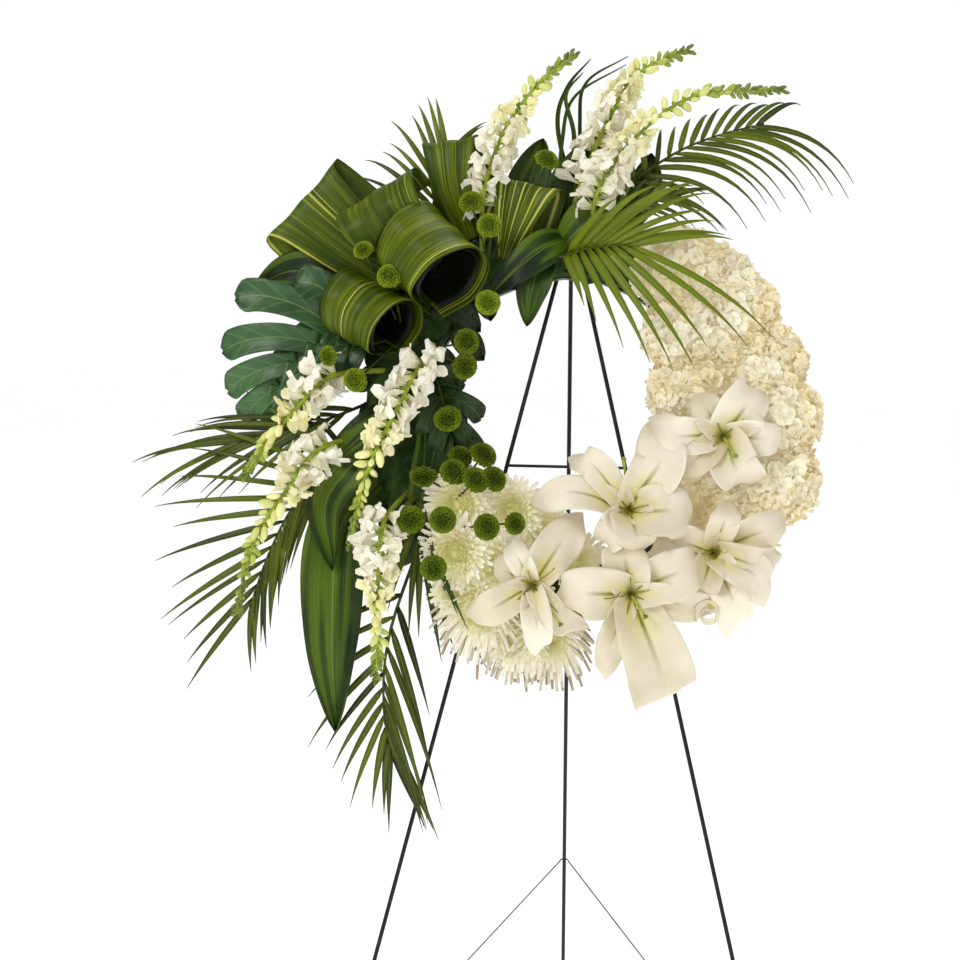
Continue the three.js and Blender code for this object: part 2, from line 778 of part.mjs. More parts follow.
function palmFrond({ line, left, right, hang }, grow) {
  const midrib = curveThrough(line);
  const thickness = PALM_THICKNESS + 2 * grow;
  const half = PALM_LEAFLET_WIDTH / 2 + grow;
  const leaflet = (share, sign, [length, splay]) => {
    const fromEnd = (1 - share) / (1 - PALM_BARE);
    const angle = degToRad(lerp(PALM_TIP_SPLAY, splay, fromEnd));
    const out = midrib.getTangent(share).applyAxisAngle(TOWARDS_VIEWER, sign * angle);
    const across = TOWARDS_VIEWER.clone().cross(out).normalize();
    const reach = length * Math.sin(Math.PI * lerp(0.86, 0.28, fromEnd));
    const point = (far, wide) =>
      midrib
        .getPoint(share)
        .addScaledVector(out, far * reach)
        .addScaledVector(across, wide)
        .add(at(0, -hang * ((far * reach) / 200) ** 2, -10 * far * far));
    return plate([point(0, 0), point(0.45, -half), point(1, 0), point(0.45, half)], thickness);
  };
  const parts = [rod(midrib, PALM_MIDRIB_RADIUS + grow, { sides: 4, steps: 4 })];
  for (let i = 0; i < PALM_PAIRS; i++)
    for (const [sign, shape, offset] of [[-1, right, 0], [1, left, 0.5]])
      parts.push(leaflet(lerp(PALM_BARE, 0.98, (i + offset) / PALM_PAIRS), sign, shape));
  return join(parts);
}
addEach("palm_frond", PALM_FRONDS, "palm", palmFrond);

// Plain leaves: points of the midrib from the foam to the tip, and the greatest width.
const LEAVES = [
  { line: [[-240, 150, 40], [-330, 205, 60], [-400, 218, 56], [-456, 202, 40]], width: 66 },
  { line: [[12, 262, 56], [-30, 262, 104], [-72, 228, 108], [-48, 138, 100]], width: 70 },
  { line: [[20, 240, 30], [28, 310, 50], [52, 372, 60], [78, 432, 52]], width: 96 },
  { line: [[-245, -70, 30], [-325, -160, 70], [-338, -320, 74], [-333, -462, 60]], width: 92 },
  { line: [[-242, 20, 40], [-270, -10, 96], [-318, -52, 90], [-350, -84, 70]], width: 50 },
];

function leaf({ line, width }, grow) {
  return toSolid(
    blade({
      spine: curveThrough(line),
      side: at(line[3][1] - line[0][1], line[0][0] - line[3][0], 0),
      width: (share) => 5 + width * Math.sin(Math.PI * share) ** 0.7,
      thickness: LEAF_THICKNESS,
      across: 2,
      along: 6,
      cup: -0.08,
      grow,
    }),
  );
}
addEach("broad_leaf", LEAVES, "aspidistra", leaf);

// Monstera leaves: where the stalk meets the leaf, the tip, and the length of each lobe, from the
// bottom of one side round the tip to the bottom of the other.
const MONSTERA_SPREAD = degToRad(150);
const LOBE_OUTLINE = [[-0.48, 0.42], [-0.3, 0.94], [0, 1], [0.3, 0.94], [0.48, 0.42]];
const MONSTERAS = [
  { base: [-300, 118, 46], tip: [-462, 6, 40], lobes: [86, 112, 108, 96, 84, 100, 104, 84, 60] },
  { base: [-178, 60, 70], tip: [-158, -78, 74], lobes: [40, 46, 50, 46, 40, 44, 48, 50, 40] },
];

// A leaf blade with a slot between neighbouring lobes. Its lobes bend back from the midrib.
function monstera({ base, tip, lobes }, grow) {
  const origin = at(...base);
  const axis = at(...tip).sub(origin);
  const middle = (lobes.length - 1) / 2;
  const outline = lobes.flatMap((lobe, i) => {
    const reach = i === middle ? axis.length() : lobe;
    return LOBE_OUTLINE.map(([turn, share]) => {
      const angle = (MONSTERA_SPREAD * (middle - i - turn)) / middle;
      const radius = share * reach + (share > 0.5 ? grow : 0);
      const out = axis.clone().normalize().applyAxisAngle(TOWARDS_VIEWER, -angle);
      return origin.clone().addScaledVector(out, radius).add(at(0, 0, -0.1 * radius));
    });
  });
  return toSolid(plate(outline, LEAF_THICKNESS + 2 * grow));
}
addEach("monstera_leaf", MONSTERAS, "monstera", monstera);

// The origin is on the ground, under the middle of the whole.
const middle = new THREE.Box3().setFromObject(root, true).getCenter(new THREE.Vector3());
root.position.set(-middle.x, -middle.y, 0);

export default root;
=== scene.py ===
"""The looks of a funeral wreath on its folding wire easel: flowers, leaves, foam, tray and wire.

Flowers and leaves are shaped in millimetres of the wreath's own frame, which has x to the right, z up its
face and y out of its back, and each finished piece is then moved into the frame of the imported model.
"""

from functools import cache
from math import cos, pi, radians, sin
from random import Random

import bpy
from mathutils import Matrix, Quaternion, Vector


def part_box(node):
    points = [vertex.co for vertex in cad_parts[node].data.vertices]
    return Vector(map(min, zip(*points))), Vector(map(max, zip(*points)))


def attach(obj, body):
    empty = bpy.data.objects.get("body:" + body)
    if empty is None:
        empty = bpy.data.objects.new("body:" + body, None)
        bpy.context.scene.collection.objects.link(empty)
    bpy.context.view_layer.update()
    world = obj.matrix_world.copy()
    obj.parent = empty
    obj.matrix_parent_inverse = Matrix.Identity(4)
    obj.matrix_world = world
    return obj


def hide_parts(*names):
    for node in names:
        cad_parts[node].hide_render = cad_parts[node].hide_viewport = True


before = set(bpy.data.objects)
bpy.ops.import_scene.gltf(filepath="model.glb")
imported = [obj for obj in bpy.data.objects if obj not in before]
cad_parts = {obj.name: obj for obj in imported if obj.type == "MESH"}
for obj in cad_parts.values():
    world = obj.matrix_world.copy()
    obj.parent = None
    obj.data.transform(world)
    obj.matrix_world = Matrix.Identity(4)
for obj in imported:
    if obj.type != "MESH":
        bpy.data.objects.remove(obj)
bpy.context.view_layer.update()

# ---- the wreath's own frame ------------------------------------------------------------------

LEAN = radians(-7.23)  # the face leans back, as the front legs do
HANG_TURN = radians(-1.3)  # it hangs a little turned on its hook
FOAM_MIDDLE = 31.5  # in front of the tray's back
RING_RADIUS = 253  # to the middle of the foam
MILLIMETRE = 0.001

LEAF_THICKNESS = 0.9
FILLER_THICKNESS = 0.7
LEAFLET_THICKNESS = 0.6
PETAL_THICKNESS = 1.1

# Each kind of piece draws its own random numbers, so a change to one leaves the others as they are.
FLORET_SEED = 11
BUTTON_SEED = 31
SNAPDRAGON_SEED = 41
FILLER_SEED = 61
HYDRANGEA_SEED = 100
MUM_SEED = 200
PALM_SEED = 300

foam_low, foam_high = (Vector(corner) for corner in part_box("foam_ring"))
ring_middle = (foam_low + foam_high) / 2
WREATH = (
    Matrix.Translation(ring_middle)
    @ Matrix.Rotation(LEAN, 4, "X")
    @ Matrix.Rotation(HANG_TURN, 4, "Y")
    @ Matrix.Scale(MILLIMETRE, 4)
    @ Matrix.Translation((0, FOAM_MIDDLE, 0))
)


def at(right, up, front=0.0):
    """A point of the wreath: right of the ring's centre, up its face, and in front of its back."""
    return Vector((right, -front, up))


VIEWER = at(0, 0, 1)
UP = at(0, 1, 0)  # also the way up of a part that is still to be placed


def lerp(a, b, share):
    return a + (b - a) * share


def ease(low, high, value):
    """0 below low, 1 above high, and smooth between them."""
    share = min(1, max(0, (value - low) / (high - low)))
    return share * share * (3 - 2 * share)


# ---- parts of a piece ------------------------------------------------------------------------


def pick(*objects):
    """Selects these objects alone, the first as the active one."""
    bpy.ops.object.select_all(action="DESELECT")
    for obj in objects:
        obj.select_set(True)
    bpy.context.view_layer.objects.active = objects[0]
    return objects[0]


def part(mesh):
    obj = bpy.data.objects.new(mesh.name, mesh)
    bpy.context.scene.collection.objects.link(obj)
    return obj


def tint(mesh, tone):
    """Gives a whole part one value of the attribute that its material varies its colour by."""
    attribute = mesh.attributes.get("tone") or mesh.attributes.new("tone", "FLOAT", "POINT")
    attribute.data.foreach_set("value", [tone] * len(mesh.vertices))


@cache
def flat_grid(columns, rows):
    bpy.ops.object.select_all(action="DESELECT")
    bpy.ops.mesh.primitive_grid_add(x_subdivisions=columns, y_subdivisions=rows, size=2)
    grid = bpy.context.object
    mesh = grid.data
    mesh.use_fake_user = True
    bpy.data.objects.remove(grid)
    return mesh


def join(parts):
    pick(*parts)
    if len(parts) > 1:
        bpy.ops.object.join()
    return bpy.context.object


def apply(obj, kind, **settings):
    pick(obj)
    modifier = obj.modifiers.new(kind.title(), kind)
    for name, value in settings.items():
        setattr(modifier, name, value)
    bpy.ops.object.modifier_apply(modifier=modifier.name)
    return obj


def thicken(obj, thickness):
    return apply(obj, "SOLIDIFY", thickness=thickness, offset=0)


def paint(obj, material):
    obj.data.materials.clear()
    obj.data.materials.append(material)
    return obj


def copies(template, placements):
    """A copy of a part, with its own mesh, at each (matrix, tone)."""
    made = []
    for matrix, tone in placements:
        mesh = template.data.copy()
        mesh.transform(matrix)
        tint(mesh, tone)
        made.append(part(mesh))
    return made


def drop(*objects):
    for obj in objects:
        bpy.data.objects.remove(obj)


def finish_piece(parts, name, nodes, body="front_frame"):
    piece = join(parts)
    piece.name = piece.data.name = name
    piece.data.transform(WREATH)
    piece.data.shade_smooth()
    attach(piece, body)
    if nodes:
        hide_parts(*nodes)
    return piece


# ---- shapes ----------------------------------------------------------------------------------


def curve_through(points):
    """A smooth line through points, as a function of the share of the way along it."""
    points = [Vector(p) for p in points]
    line = [2 * points[0] - points[1], *points, 2 * points[-1] - points[-2]]

    def point(share):
        way = min(1, max(0, share)) * (len(points) - 1)
        i = min(int(way), len(points) - 2)
        t = way - i
        a, b, c, d = line[i : i + 4]
        return 0.5 * (
            2 * b + (c - a) * t + (2 * a - 5 * b + 4 * c - d) * t**2 + (3 * b - a - 3 * c + d) * t**3
        )

    return point


def bezier(a, b, c, d):
    def point(share):
        rest = 1 - share
        return a * rest**3 + b * (3 * rest**2 * share) + c * (3 * rest * share**2) + d * share**3

    return point


def tangent_at(line, share, step=0.01):
    return (line(min(1, share + step)) - line(max(0, share - step))).normalized()


def level(x, share):
    return 0


def ribbon(line, side, width, columns, rows, lift=level, tone=0.5):
    """A petal or leaf: a grid laid along a line. side points across it, width is its width at each share
    of its length, and lift moves a point off its surface by the place across, -1 to 1, and the share.
    """
    mesh = flat_grid(columns, rows).copy()
    places = []
    for row in range(rows + 1):
        share = row / rows
        middle = line(share)
        along = tangent_at(line, share)
        flat = (side - along * side.dot(along)).normalized()
        normal = flat.cross(along)
        half = width(share) / 2
        for column in range(columns + 1):
            x = 2 * column / columns - 1
            places.extend(middle + flat * (x * half) + normal * lift(x, share))
    mesh.vertices.foreach_set("co", places)
    tint(mesh, tone)
    return part(mesh)


def rods(lines, sides=2, tone=0.5):
    """Round stems or wires as one part. Each is its points and its radius at each of them."""
    curve = bpy.data.curves.new("rods", "CURVE")
    curve.dimensions = "3D"
    curve.bevel_depth = 1
    curve.bevel_resolution = sides
    curve.use_fill_caps = True
    for points, radii in lines:
        spline = curve.splines.new("POLY")
        spline.points.add(len(points) - 1)
        for i, (place, radius) in enumerate(zip(points, radii)):
            spline.points[i].co = (*place, 1)
            spline.points[i].radius = radius
    obj = bpy.data.objects.new("rods", curve)
    bpy.context.scene.collection.objects.link(obj)
    pick(obj)
    bpy.ops.object.convert(target="MESH")
    tint(bpy.context.object.data, tone)
    return bpy.context.object


def stem(line, root, tip, steps=10):
    """The points and radii of a stem along a line, for rods."""
    shares = [i / steps for i in range(steps + 1)]
    return [line(s) for s in shares], [lerp(root, tip, s) for s in shares]


def placed(point, direction, spin=0.0, size=1.0):
    """Where a part made along +Z goes: its point, its direction, its turn about that and its scale."""
    turn = Vector(direction).to_track_quat("Z", "Y") @ Quaternion((0, 0, 1), spin)
    return Matrix.Translation(point) @ turn.to_matrix().to_4x4() @ Matrix.Scale(size, 4)


GOLDEN_ANGLE = pi * (3 - 5**0.5)


def dome(count, lowest):
    """Directions spread evenly over a ball, down to a height of -1 to 1."""
    for i in range(count):
        height = lerp(1, lowest, (i + 0.5) / count)
        out = (1 - height * height) ** 0.5
        yield Vector((out * cos(i * GOLDEN_ANGLE), out * sin(i * GOLDEN_ANGLE), height))


def ball(radii, matrix, tone, subdivisions=2):
    bpy.ops.object.select_all(action="DESELECT")
    bpy.ops.mesh.primitive_ico_sphere_add(subdivisions=subdivisions, radius=1)
    obj = bpy.context.object
    obj.data.transform(matrix @ Matrix.Diagonal((*radii, 1)))
    tint(obj.data, tone)
    return obj


# ---- materials -------------------------------------------------------------------------------


class Number:
    """A number that varies over a surface. Arithmetic on it adds Math nodes to its material."""

    def __init__(self, finish, socket):
        self.finish = finish
        self.socket = socket

    def math(self, operation, *values):
        made = self.finish.node("ShaderNodeMath", {"operation": operation}, dict(enumerate(values)))
        return Number(self.finish, made.outputs[0])

    def __add__(self, other):
        return self.math("ADD", self, other)

    def __sub__(self, other):
        return self.math("SUBTRACT", self, other)

    def __rsub__(self, other):
        return self.math("SUBTRACT", other, self)

    def __mul__(self, other):
        return self.math("MULTIPLY", self, other)

    def __truediv__(self, other):
        return self.math("DIVIDE", self, other)

    def __pow__(self, other):
        return self.math("POWER", self, other)

    def __abs__(self):
        return self.math("ABSOLUTE", self)

    __radd__ = __add__
    __rmul__ = __mul__

    def wave(self):
        """Its sine, from 0 to 1."""
        return self.math("SINE", self) * 0.5 + 0.5

    def near(self, middle, reach):
        """1 at middle, falling to 0 so far from it."""
        return 1 - (abs(self - middle) / reach).between(0, 1)

    def between(self, low, high):
        """0 at low, 1 at high, and no further."""
        scaled = (self - low) / (high - low)
        return self.math("MAXIMUM", self.math("MINIMUM", scaled, 1), 0)


SOCKETS = {
    "painted_glow": "Emission Color",
    "painted_glow_strength": "Emission Strength",
    "coat": "Coat Weight",
    "coat_roughness": "Coat Roughness",
    "metallic": "Metallic",
    "sheen": "Sheen Weight",
    "specular": "Specular IOR Level",
    "subsurface": "Subsurface Weight",
    "subsurface_radius": "Subsurface Radius",
    "subsurface_scale": "Subsurface Scale",
}


class Finish:
    """A material in the making. node() adds any node: its kind, its settings, and its inputs."""

    def __init__(self, name, **constants):
        self.material = bpy.data.materials.new(name)
        self.material.use_nodes = True
        tree = self.material.node_tree
        self.nodes, self.links = tree.nodes, tree.links
        self.shader = self.nodes["Principled BSDF"]
        for socket, value in constants.items():
            self.connect(self.shader.inputs[SOCKETS[socket]], value)

    def connect(self, socket, value):
        if isinstance(value, Number):
            value = value.socket
        if isinstance(value, bpy.types.NodeSocket):
            self.links.new(value, socket)
        else:
            socket.default_value = value

    def node(self, kind, settings=None, inputs=None):
        made = self.nodes.new(kind)
        for name, value in (settings or {}).items():
            setattr(made, name, value)
        for name, value in (inputs or {}).items():
            self.connect(made.inputs[name], value)
        return made

    def coordinates(self):
        return self.node("ShaderNodeTexCoord").outputs["Object"]

    def across_and_along(self):
        """Where a point is on a petal or leaf: across it and along it, each 0 to 1."""
        uv = self.node("ShaderNodeUVMap", {"uv_map": "UVMap"})
        parts = self.node("ShaderNodeSeparateXYZ", inputs={0: uv.outputs[0]})
        return Number(self, parts.outputs[0]), Number(self, parts.outputs[1])

    def vector(self, x, y, z=0.0):
        return self.node("ShaderNodeCombineXYZ", inputs={0: x, 1: y, 2: z}).outputs[0]

    def tone(self):
        return Number(self, self.node("ShaderNodeAttribute", {"attribute_name": "tone"}).outputs["Fac"])

    def noise(self, scale, detail=2.0, vector=None):
        inputs = {"Vector": vector or self.coordinates(), "Scale": scale, "Detail": detail}
        return Number(self, self.node("ShaderNodeTexNoise", inputs=inputs).outputs[0])

    def mix(self, share, a, b):
        made = self.node("ShaderNodeMix", {"data_type": "RGBA"}, {0: share, 6: a, 7: b})
        return made.outputs[2]

    def bump(self, height, distance, strength=1.0):
        inputs = {"Height": height, "Distance": distance, "Strength": strength}
        return self.node("ShaderNodeBump", inputs=inputs).outputs[0]

    def done(self, color, roughness=None, normal=None):
        self.connect(self.shader.inputs["Base Color"], color)
        if roughness is not None:
            self.connect(self.shader.inputs["Roughness"], roughness)
        if normal is not None:
            self.connect(self.shader.inputs["Normal"], normal)
        return self.material


def rgb(red, green, blue):
    """A colour as it looks on a screen, 0 to 255, as the renderer's light."""
    return (*(((c / 255 + 0.055) / 1.055) ** 2.4 for c in (red, green, blue)), 1)


# A thin petal lets light through, and a faint emission adds painted light to that.
PETAL = {
    "subsurface": 0.2,
    "subsurface_radius": (1, 0.9, 0.7),
    "subsurface_scale": 0.006,
    "specular": 0.25,
    "painted_glow": rgb(255, 240, 200),
    "painted_glow_strength": 0.04,
}


def lily_material():
    finish = Finish("lily_petal", **{**PETAL, "painted_glow_strength": 0.06})
    across, along = finish.across_and_along()
    off_midrib = abs(across * 2 - 1)
    drift = finish.noise(30)
    veins = (across * 74 + drift * 9).wave() * (1 - off_midrib.between(0.55, 0.95))
    throat = (1 - along.between(0.2, 0.5)) * (1 - off_midrib.between(0.0, 0.8))
    line = (1 - off_midrib.between(0.02, 0.13)) * (1 - along.between(0.34, 0.62))
    blush = finish.noise(18, 3)
    shade = (blush * 0.6 + finish.tone() * 0.5).between(0.3, 0.85)
    white = finish.mix(shade, rgb(238, 230, 212), rgb(208, 196, 170))
    veined = finish.mix(veins * 0.05, white, rgb(186, 172, 136))
    yellow = finish.mix(throat, veined, rgb(226, 222, 84))
    green = finish.mix(line * 0.95, yellow, rgb(108, 118, 16))
    # Painted light: the emission, raised for lily petals, turns yellow in the throat and lifts the shade deep
    # in the trumpet.
    painted_glow = finish.mix(throat, PETAL["painted_glow"], rgb(255, 244, 60))
    finish.connect(finish.shader.inputs["Emission Color"], painted_glow)
    height = veins * 0.15 - line + drift * 0.8
    return finish.done(green, veins * 0.05 + 0.45, finish.bump(height, 0.0005, 0.6))


def hydrangea_material():
    # A stronger emission paints more light onto these petals.
    finish = Finish("hydrangea_petal", **{**PETAL, "painted_glow_strength": 0.08})
    across, along = finish.across_and_along()
    tone = finish.tone()
    off_midrib = abs(across * 2 - 1)
    veins = (off_midrib * 22 - along * 9).wave()
    patch = finish.noise(8)
    cream = finish.mix(patch.between(0.44, 0.6), rgb(253, 248, 228), rgb(252, 241, 206))
    # Painted shade: the core ball of a head, of tone 0, takes this darker beige as the shade between its
    # florets; florets of low random tone take a little of it.
    deep = finish.mix((1 - tone.between(0.0, 0.6)) * 0.6, cream, rgb(232, 218, 176))
    heart = finish.mix((1 - along.between(0, 0.3)) * 0.35, deep, rgb(208, 204, 138))
    veined = finish.mix(veins * 0.1, heart, rgb(206, 192, 158))
    ruffle = finish.noise(160)
    return finish.done(veined, ruffle * 0.2 + 0.5, finish.bump(veins * 0.4 + ruffle, 0.0008, 0.8))


def mum_material():
    """Tone runs from the greenish heart, 0, to the white of the outer petals, 1, and past 1 to grey painted
    shade.
    """
    # A stronger emission paints more light onto these petals.
    finish = Finish("mum_petal", **{**PETAL, "painted_glow_strength": 0.1})
    across, along = finish.across_and_along()
    tone = finish.tone()
    grooves = (across * 19).wave()
    heart = (1 - tone.between(0.12, 0.78)) * (1 - along * 0.4)
    white = finish.mix(along.between(0, 0.7), rgb(212, 206, 124), rgb(254, 252, 240))
    yellow = finish.mix(heart, white, rgb(208, 216, 46))
    # Painted shade: outer petals of hanging heads, of tone past 1, turn grey-brown.
    painted_shade = finish.mix(tone.between(1, 1.4), yellow, rgb(160, 146, 120))
    shaded = finish.mix(grooves * 0.12, painted_shade, rgb(190, 178, 124))
    mottle = finish.noise(90)
    return finish.done(shaded, mottle * 0.2 + 0.5, finish.bump(grooves + mottle, 0.0004, 0.7))


def button_material(name, low, high):
    finish = Finish(name, specular=0.15)
    _, along = finish.across_and_along()
    tone = finish.tone()
    speckle = finish.noise(400)
    outer = finish.mix(along.between(0.1, 1), low, high)
    body = finish.mix((1 - tone) * 0.7, outer, low)
    varied = finish.mix(speckle.between(0.4, 0.8) * 0.25, body, rgb(134, 152, 44))
    return finish.done(varied, speckle * 0.2 + 0.65, finish.bump(speckle, 0.0004, 0.6))


def snapdragon_material():
    """Tone runs from a lime bud, 0, to an open white flower, 1."""
    finish = Finish("snapdragon_petal", **PETAL)
    _, along = finish.across_and_along()
    tone = finish.tone()
    crumple = finish.noise(220)
    white = finish.mix(crumple.between(0.35, 0.7), rgb(252, 250, 240), rgb(236, 230, 204))
    base = finish.mix((1 - along.between(0, 0.45)) * 0.7, white, rgb(196, 204, 96))
    bud = finish.mix(tone.between(0.0, 0.3), rgb(84, 108, 20), rgb(176, 190, 66))
    cream = finish.mix(tone.between(0.6, 0.95), rgb(240, 236, 168), base)
    mixed = finish.mix(tone.between(0.2, 0.6), bud, cream)
    return finish.done(mixed, crumple * 0.2 + 0.42, finish.bump(crumple, 0.0007, 0.7))


def aspidistra_material(name, stripes):
    """A finely ribbed leaf. A pale stripe is its place across the leaf, its half width and how pale it is."""
    finish = Finish(f"aspidistra_{name}", coat=0.05, coat_roughness=0.3, specular=0.16)
    across, along = finish.across_and_along()
    tone = finish.tone()
    wander = finish.noise(1, 2, finish.vector(across * 3, along * 4, tone * 30))
    place = across + wander * 0.02
    streak = finish.noise(1, 3, finish.vector(across * 22, along * 2.4, tone * 9))
    broad = finish.noise(1, 2, finish.vector(across * 5, along * 3, tone * 17))
    ribs = (across * 320).wave()
    fine = finish.noise(60, 3)
    green = finish.mix(streak.between(0.34, 0.7), rgb(58, 76, 0), rgb(118, 132, 2))
    green = finish.mix(broad.between(0.38, 0.62) * 0.75, green, rgb(44, 66, 0))
    for middle, reach, pale in stripes:
        share = place.near(middle + 0.01, reach) * pale * streak.between(0.18, 0.45)
        green = finish.mix(share, green, rgb(220, 218, 104))
    ribbed = finish.mix(ribs * 0.05, green, rgb(30, 42, 6))
    return finish.done(ribbed, fine * 0.25 + 0.32, finish.bump(ribs * 0.4 + streak, 0.0004, 0.5))


def leaf_material(name, low, high, vein, ribs, slant, coat=0.12):
    """A glossy leaf with a pale midrib and side veins that slant towards its tip."""
    finish = Finish(name, coat=coat, coat_roughness=0.35, specular=0.22)
    across, along = finish.across_and_along()
    tone = finish.tone()
    off_midrib = abs(across * 2 - 1)
    patch = finish.noise(22, 3)
    side_veins = ((along * ribs - off_midrib * slant) * (2 * pi)).wave() ** 10
    midrib = 1 - off_midrib.between(0.0, 0.07)
    green = finish.mix((patch * 0.6 + tone * 0.6).between(0.3, 0.9), low, high)
    veined = finish.mix(side_veins * 0.15, green, vein)
    ribbed = finish.mix(midrib * 0.6, veined, vein)
    height = midrib * 1.5 - side_veins * 0.8 + patch * 0.4
    return finish.done(ribbed, patch * 0.3 + 0.28, finish.bump(height, 0.0007, 0.8))


def ribbed_leaf_material():
    """A dark leaf with fine ribs along it, a pale midrib and now and then a pale thread."""
    finish = Finish("dark_leaf", coat=0.08, coat_roughness=0.25, specular=0.24)
    across, along = finish.across_and_along()
    tone = finish.tone()
    off_midrib = abs(across * 2 - 1)
    streak = finish.noise(1, 3, finish.vector(across * 40, along * 1.2, tone * 23))
    broad = finish.noise(14, 3)
    ribs = (across * 260).wave()
    green = finish.mix((broad * 0.8 + tone * 0.3).between(0.36, 0.85), rgb(8, 22, 0), rgb(66, 94, 4))
    wide = finish.noise(1, 1, finish.vector(across * 4, along * 1.3, tone * 11))
    lit = finish.mix(wide.between(0.5, 0.6) * 0.6, green, rgb(112, 138, 16))
    streaked = finish.mix(streak.between(0.35, 0.7) * 0.5, lit, rgb(28, 58, 6))
    thread = streak.between(0.7, 0.74) * 0.5 + (1 - off_midrib.between(0.01, 0.05)) * 0.55
    veined = finish.mix(thread.between(0, 1), streaked, rgb(134, 150, 84))
    ribbed = finish.mix(ribs * 0.12, veined, rgb(6, 16, 2))
    height = ribs * 0.6 + streak - (1 - off_midrib.between(0, 0.08)) * 2
    return finish.done(ribbed, broad * 0.3 + 0.26, finish.bump(height, 0.0005, 0.8))


def palm_material():
    finish = Finish("palm_leaflet", coat=0.2, coat_roughness=0.25, specular=0.2)
    across, along = finish.across_and_along()
    tone = finish.tone()
    off_midrib = abs(across * 2 - 1)
    streak = finish.noise(1, 2, finish.vector(across * 16, along * 3, tone * 50))
    folds = (off_midrib * 20).wave()
    green = finish.mix((streak * 0.5 + tone * 0.6).between(0.3, 1.1), rgb(18, 36, 1), rgb(130, 148, 16))
    tip = finish.mix(along.between(0.9, 1) * 0.5, green, rgb(96, 92, 36))
    ribbed = finish.mix((1 - off_midrib.between(0.02, 0.14)) * 0.45, tip, rgb(144, 158, 48))
    return finish.done(ribbed, streak * 0.3 + 0.28, finish.bump(folds + streak, 0.0004, 0.7))


def stem_material(name, low, high):
    finish = Finish(name, specular=0.3)
    patch = finish.noise(60, 3)
    fibre = finish.noise(500)
    green = finish.mix(patch.between(0.35, 0.7), low, high)
    return finish.done(green, fibre * 0.2 + 0.4, finish.bump(fibre, 0.0003, 0.6))


def foam_material():
    finish = Finish("floral_foam", specular=0.1)
    cells = finish.noise(900, 1)
    lumps = finish.noise(70, 4)
    green = finish.mix(lumps.between(0.3, 0.7), rgb(34, 56, 26), rgb(66, 92, 44))
    # Painted shade: the cells are darkened near-black, as the shade inside the foam's pits.
    pitted = finish.mix(cells.between(0.55, 0.7) * 0.6, green, rgb(14, 26, 10))
    return finish.done(pitted, cells * 0.1 + 0.85, finish.bump(cells * 0.5 + lumps, 0.0015, 0.9))


def tray_material():
    finish = Finish("moulded_tray", specular=0.4)
    grain = finish.noise(700, 2)
    flow = finish.noise(18, 4)
    scuff = flow.between(0.56, 0.62) * grain.between(0.45, 0.7)
    green = finish.mix(flow.between(0.3, 0.7), rgb(20, 46, 24), rgb(32, 62, 32))
    worn = finish.mix(scuff * 0.6, green, rgb(78, 104, 72))
    return finish.done(worn, grain * 0.2 + scuff * 0.2 + 0.36, finish.bump(grain, 0.0003, 0.5))


def wire_material(name, low, high, bare, metallic, wear):
    """Drawn wire: fine lines and pits, and bare metal where the finish has rubbed off."""
    finish = Finish(name, metallic=metallic, specular=0.4)
    pits = finish.noise(1400, 2)
    smear = finish.noise(45, 4)
    rubbed = smear.between(wear, wear + 0.05) * pits.between(0.4, 0.7)
    coat = finish.mix(smear.between(0.3, 0.7), low, high)
    worn = finish.mix(rubbed, coat, bare)
    return finish.done(worn, smear * 0.25 + 0.3, finish.bump(pits + smear, 0.0002, 0.5))


LILY = lily_material()
HYDRANGEA = hydrangea_material()
MUM = mum_material()
BUTTON = button_material("button_mum_petal", rgb(66, 88, 4), rgb(156, 176, 40))
DEEP_BUTTON = button_material("deep_button_mum_petal", rgb(44, 62, 4), rgb(126, 148, 28))
SNAPDRAGON = snapdragon_material()
DARK_LEAF = ribbed_leaf_material()
MONSTERA = [
    leaf_material("monstera_leaf", rgb(12, 44, 18), rgb(76, 118, 66), rgb(136, 166, 96), 5, 1.2, 0.4),
    leaf_material("shaded_monstera_leaf", rgb(8, 26, 2), rgb(50, 80, 14), rgb(104, 130, 50), 5, 1.2, 0.3),
]
FILLER_LEAF = leaf_material("filler_leaf", rgb(10, 24, 1), rgb(38, 60, 4), rgb(80, 104, 24), 7, 1.4)
PALM = palm_material()
# Near-black: painted shade on the turns inside a rolled leaf.
SHADED_INSIDE_LEAF = leaf_material("shaded_leaf", rgb(4, 8, 1), rgb(12, 20, 3), rgb(24, 34, 8), 7, 1.4, 0.0)
LIME_STEM = stem_material("lime_stem", rgb(132, 150, 34), rgb(176, 190, 70))
GREEN_STEM = stem_material("green_stem", rgb(92, 116, 34), rgb(148, 170, 66))
DARK_STEM = stem_material("dark_stem", rgb(40, 58, 20), rgb(78, 98, 36))
PISTIL = stem_material("pistil", rgb(150, 166, 60), rgb(204, 208, 110))
FILAMENT = stem_material("filament", rgb(112, 112, 30), rgb(172, 172, 74))
FOAM = foam_material()
TRAY = tray_material()
BLACK_WIRE = wire_material("black_wire", rgb(8, 9, 8), rgb(20, 20, 19), rgb(80, 80, 76), 0.2, 0.64)
BRIGHT_WIRE = wire_material("bright_wire", rgb(104, 108, 102), rgb(150, 154, 148), rgb(70, 64, 52), 0.9, 0.6)

# ---- lilies ----------------------------------------------------------------------------------

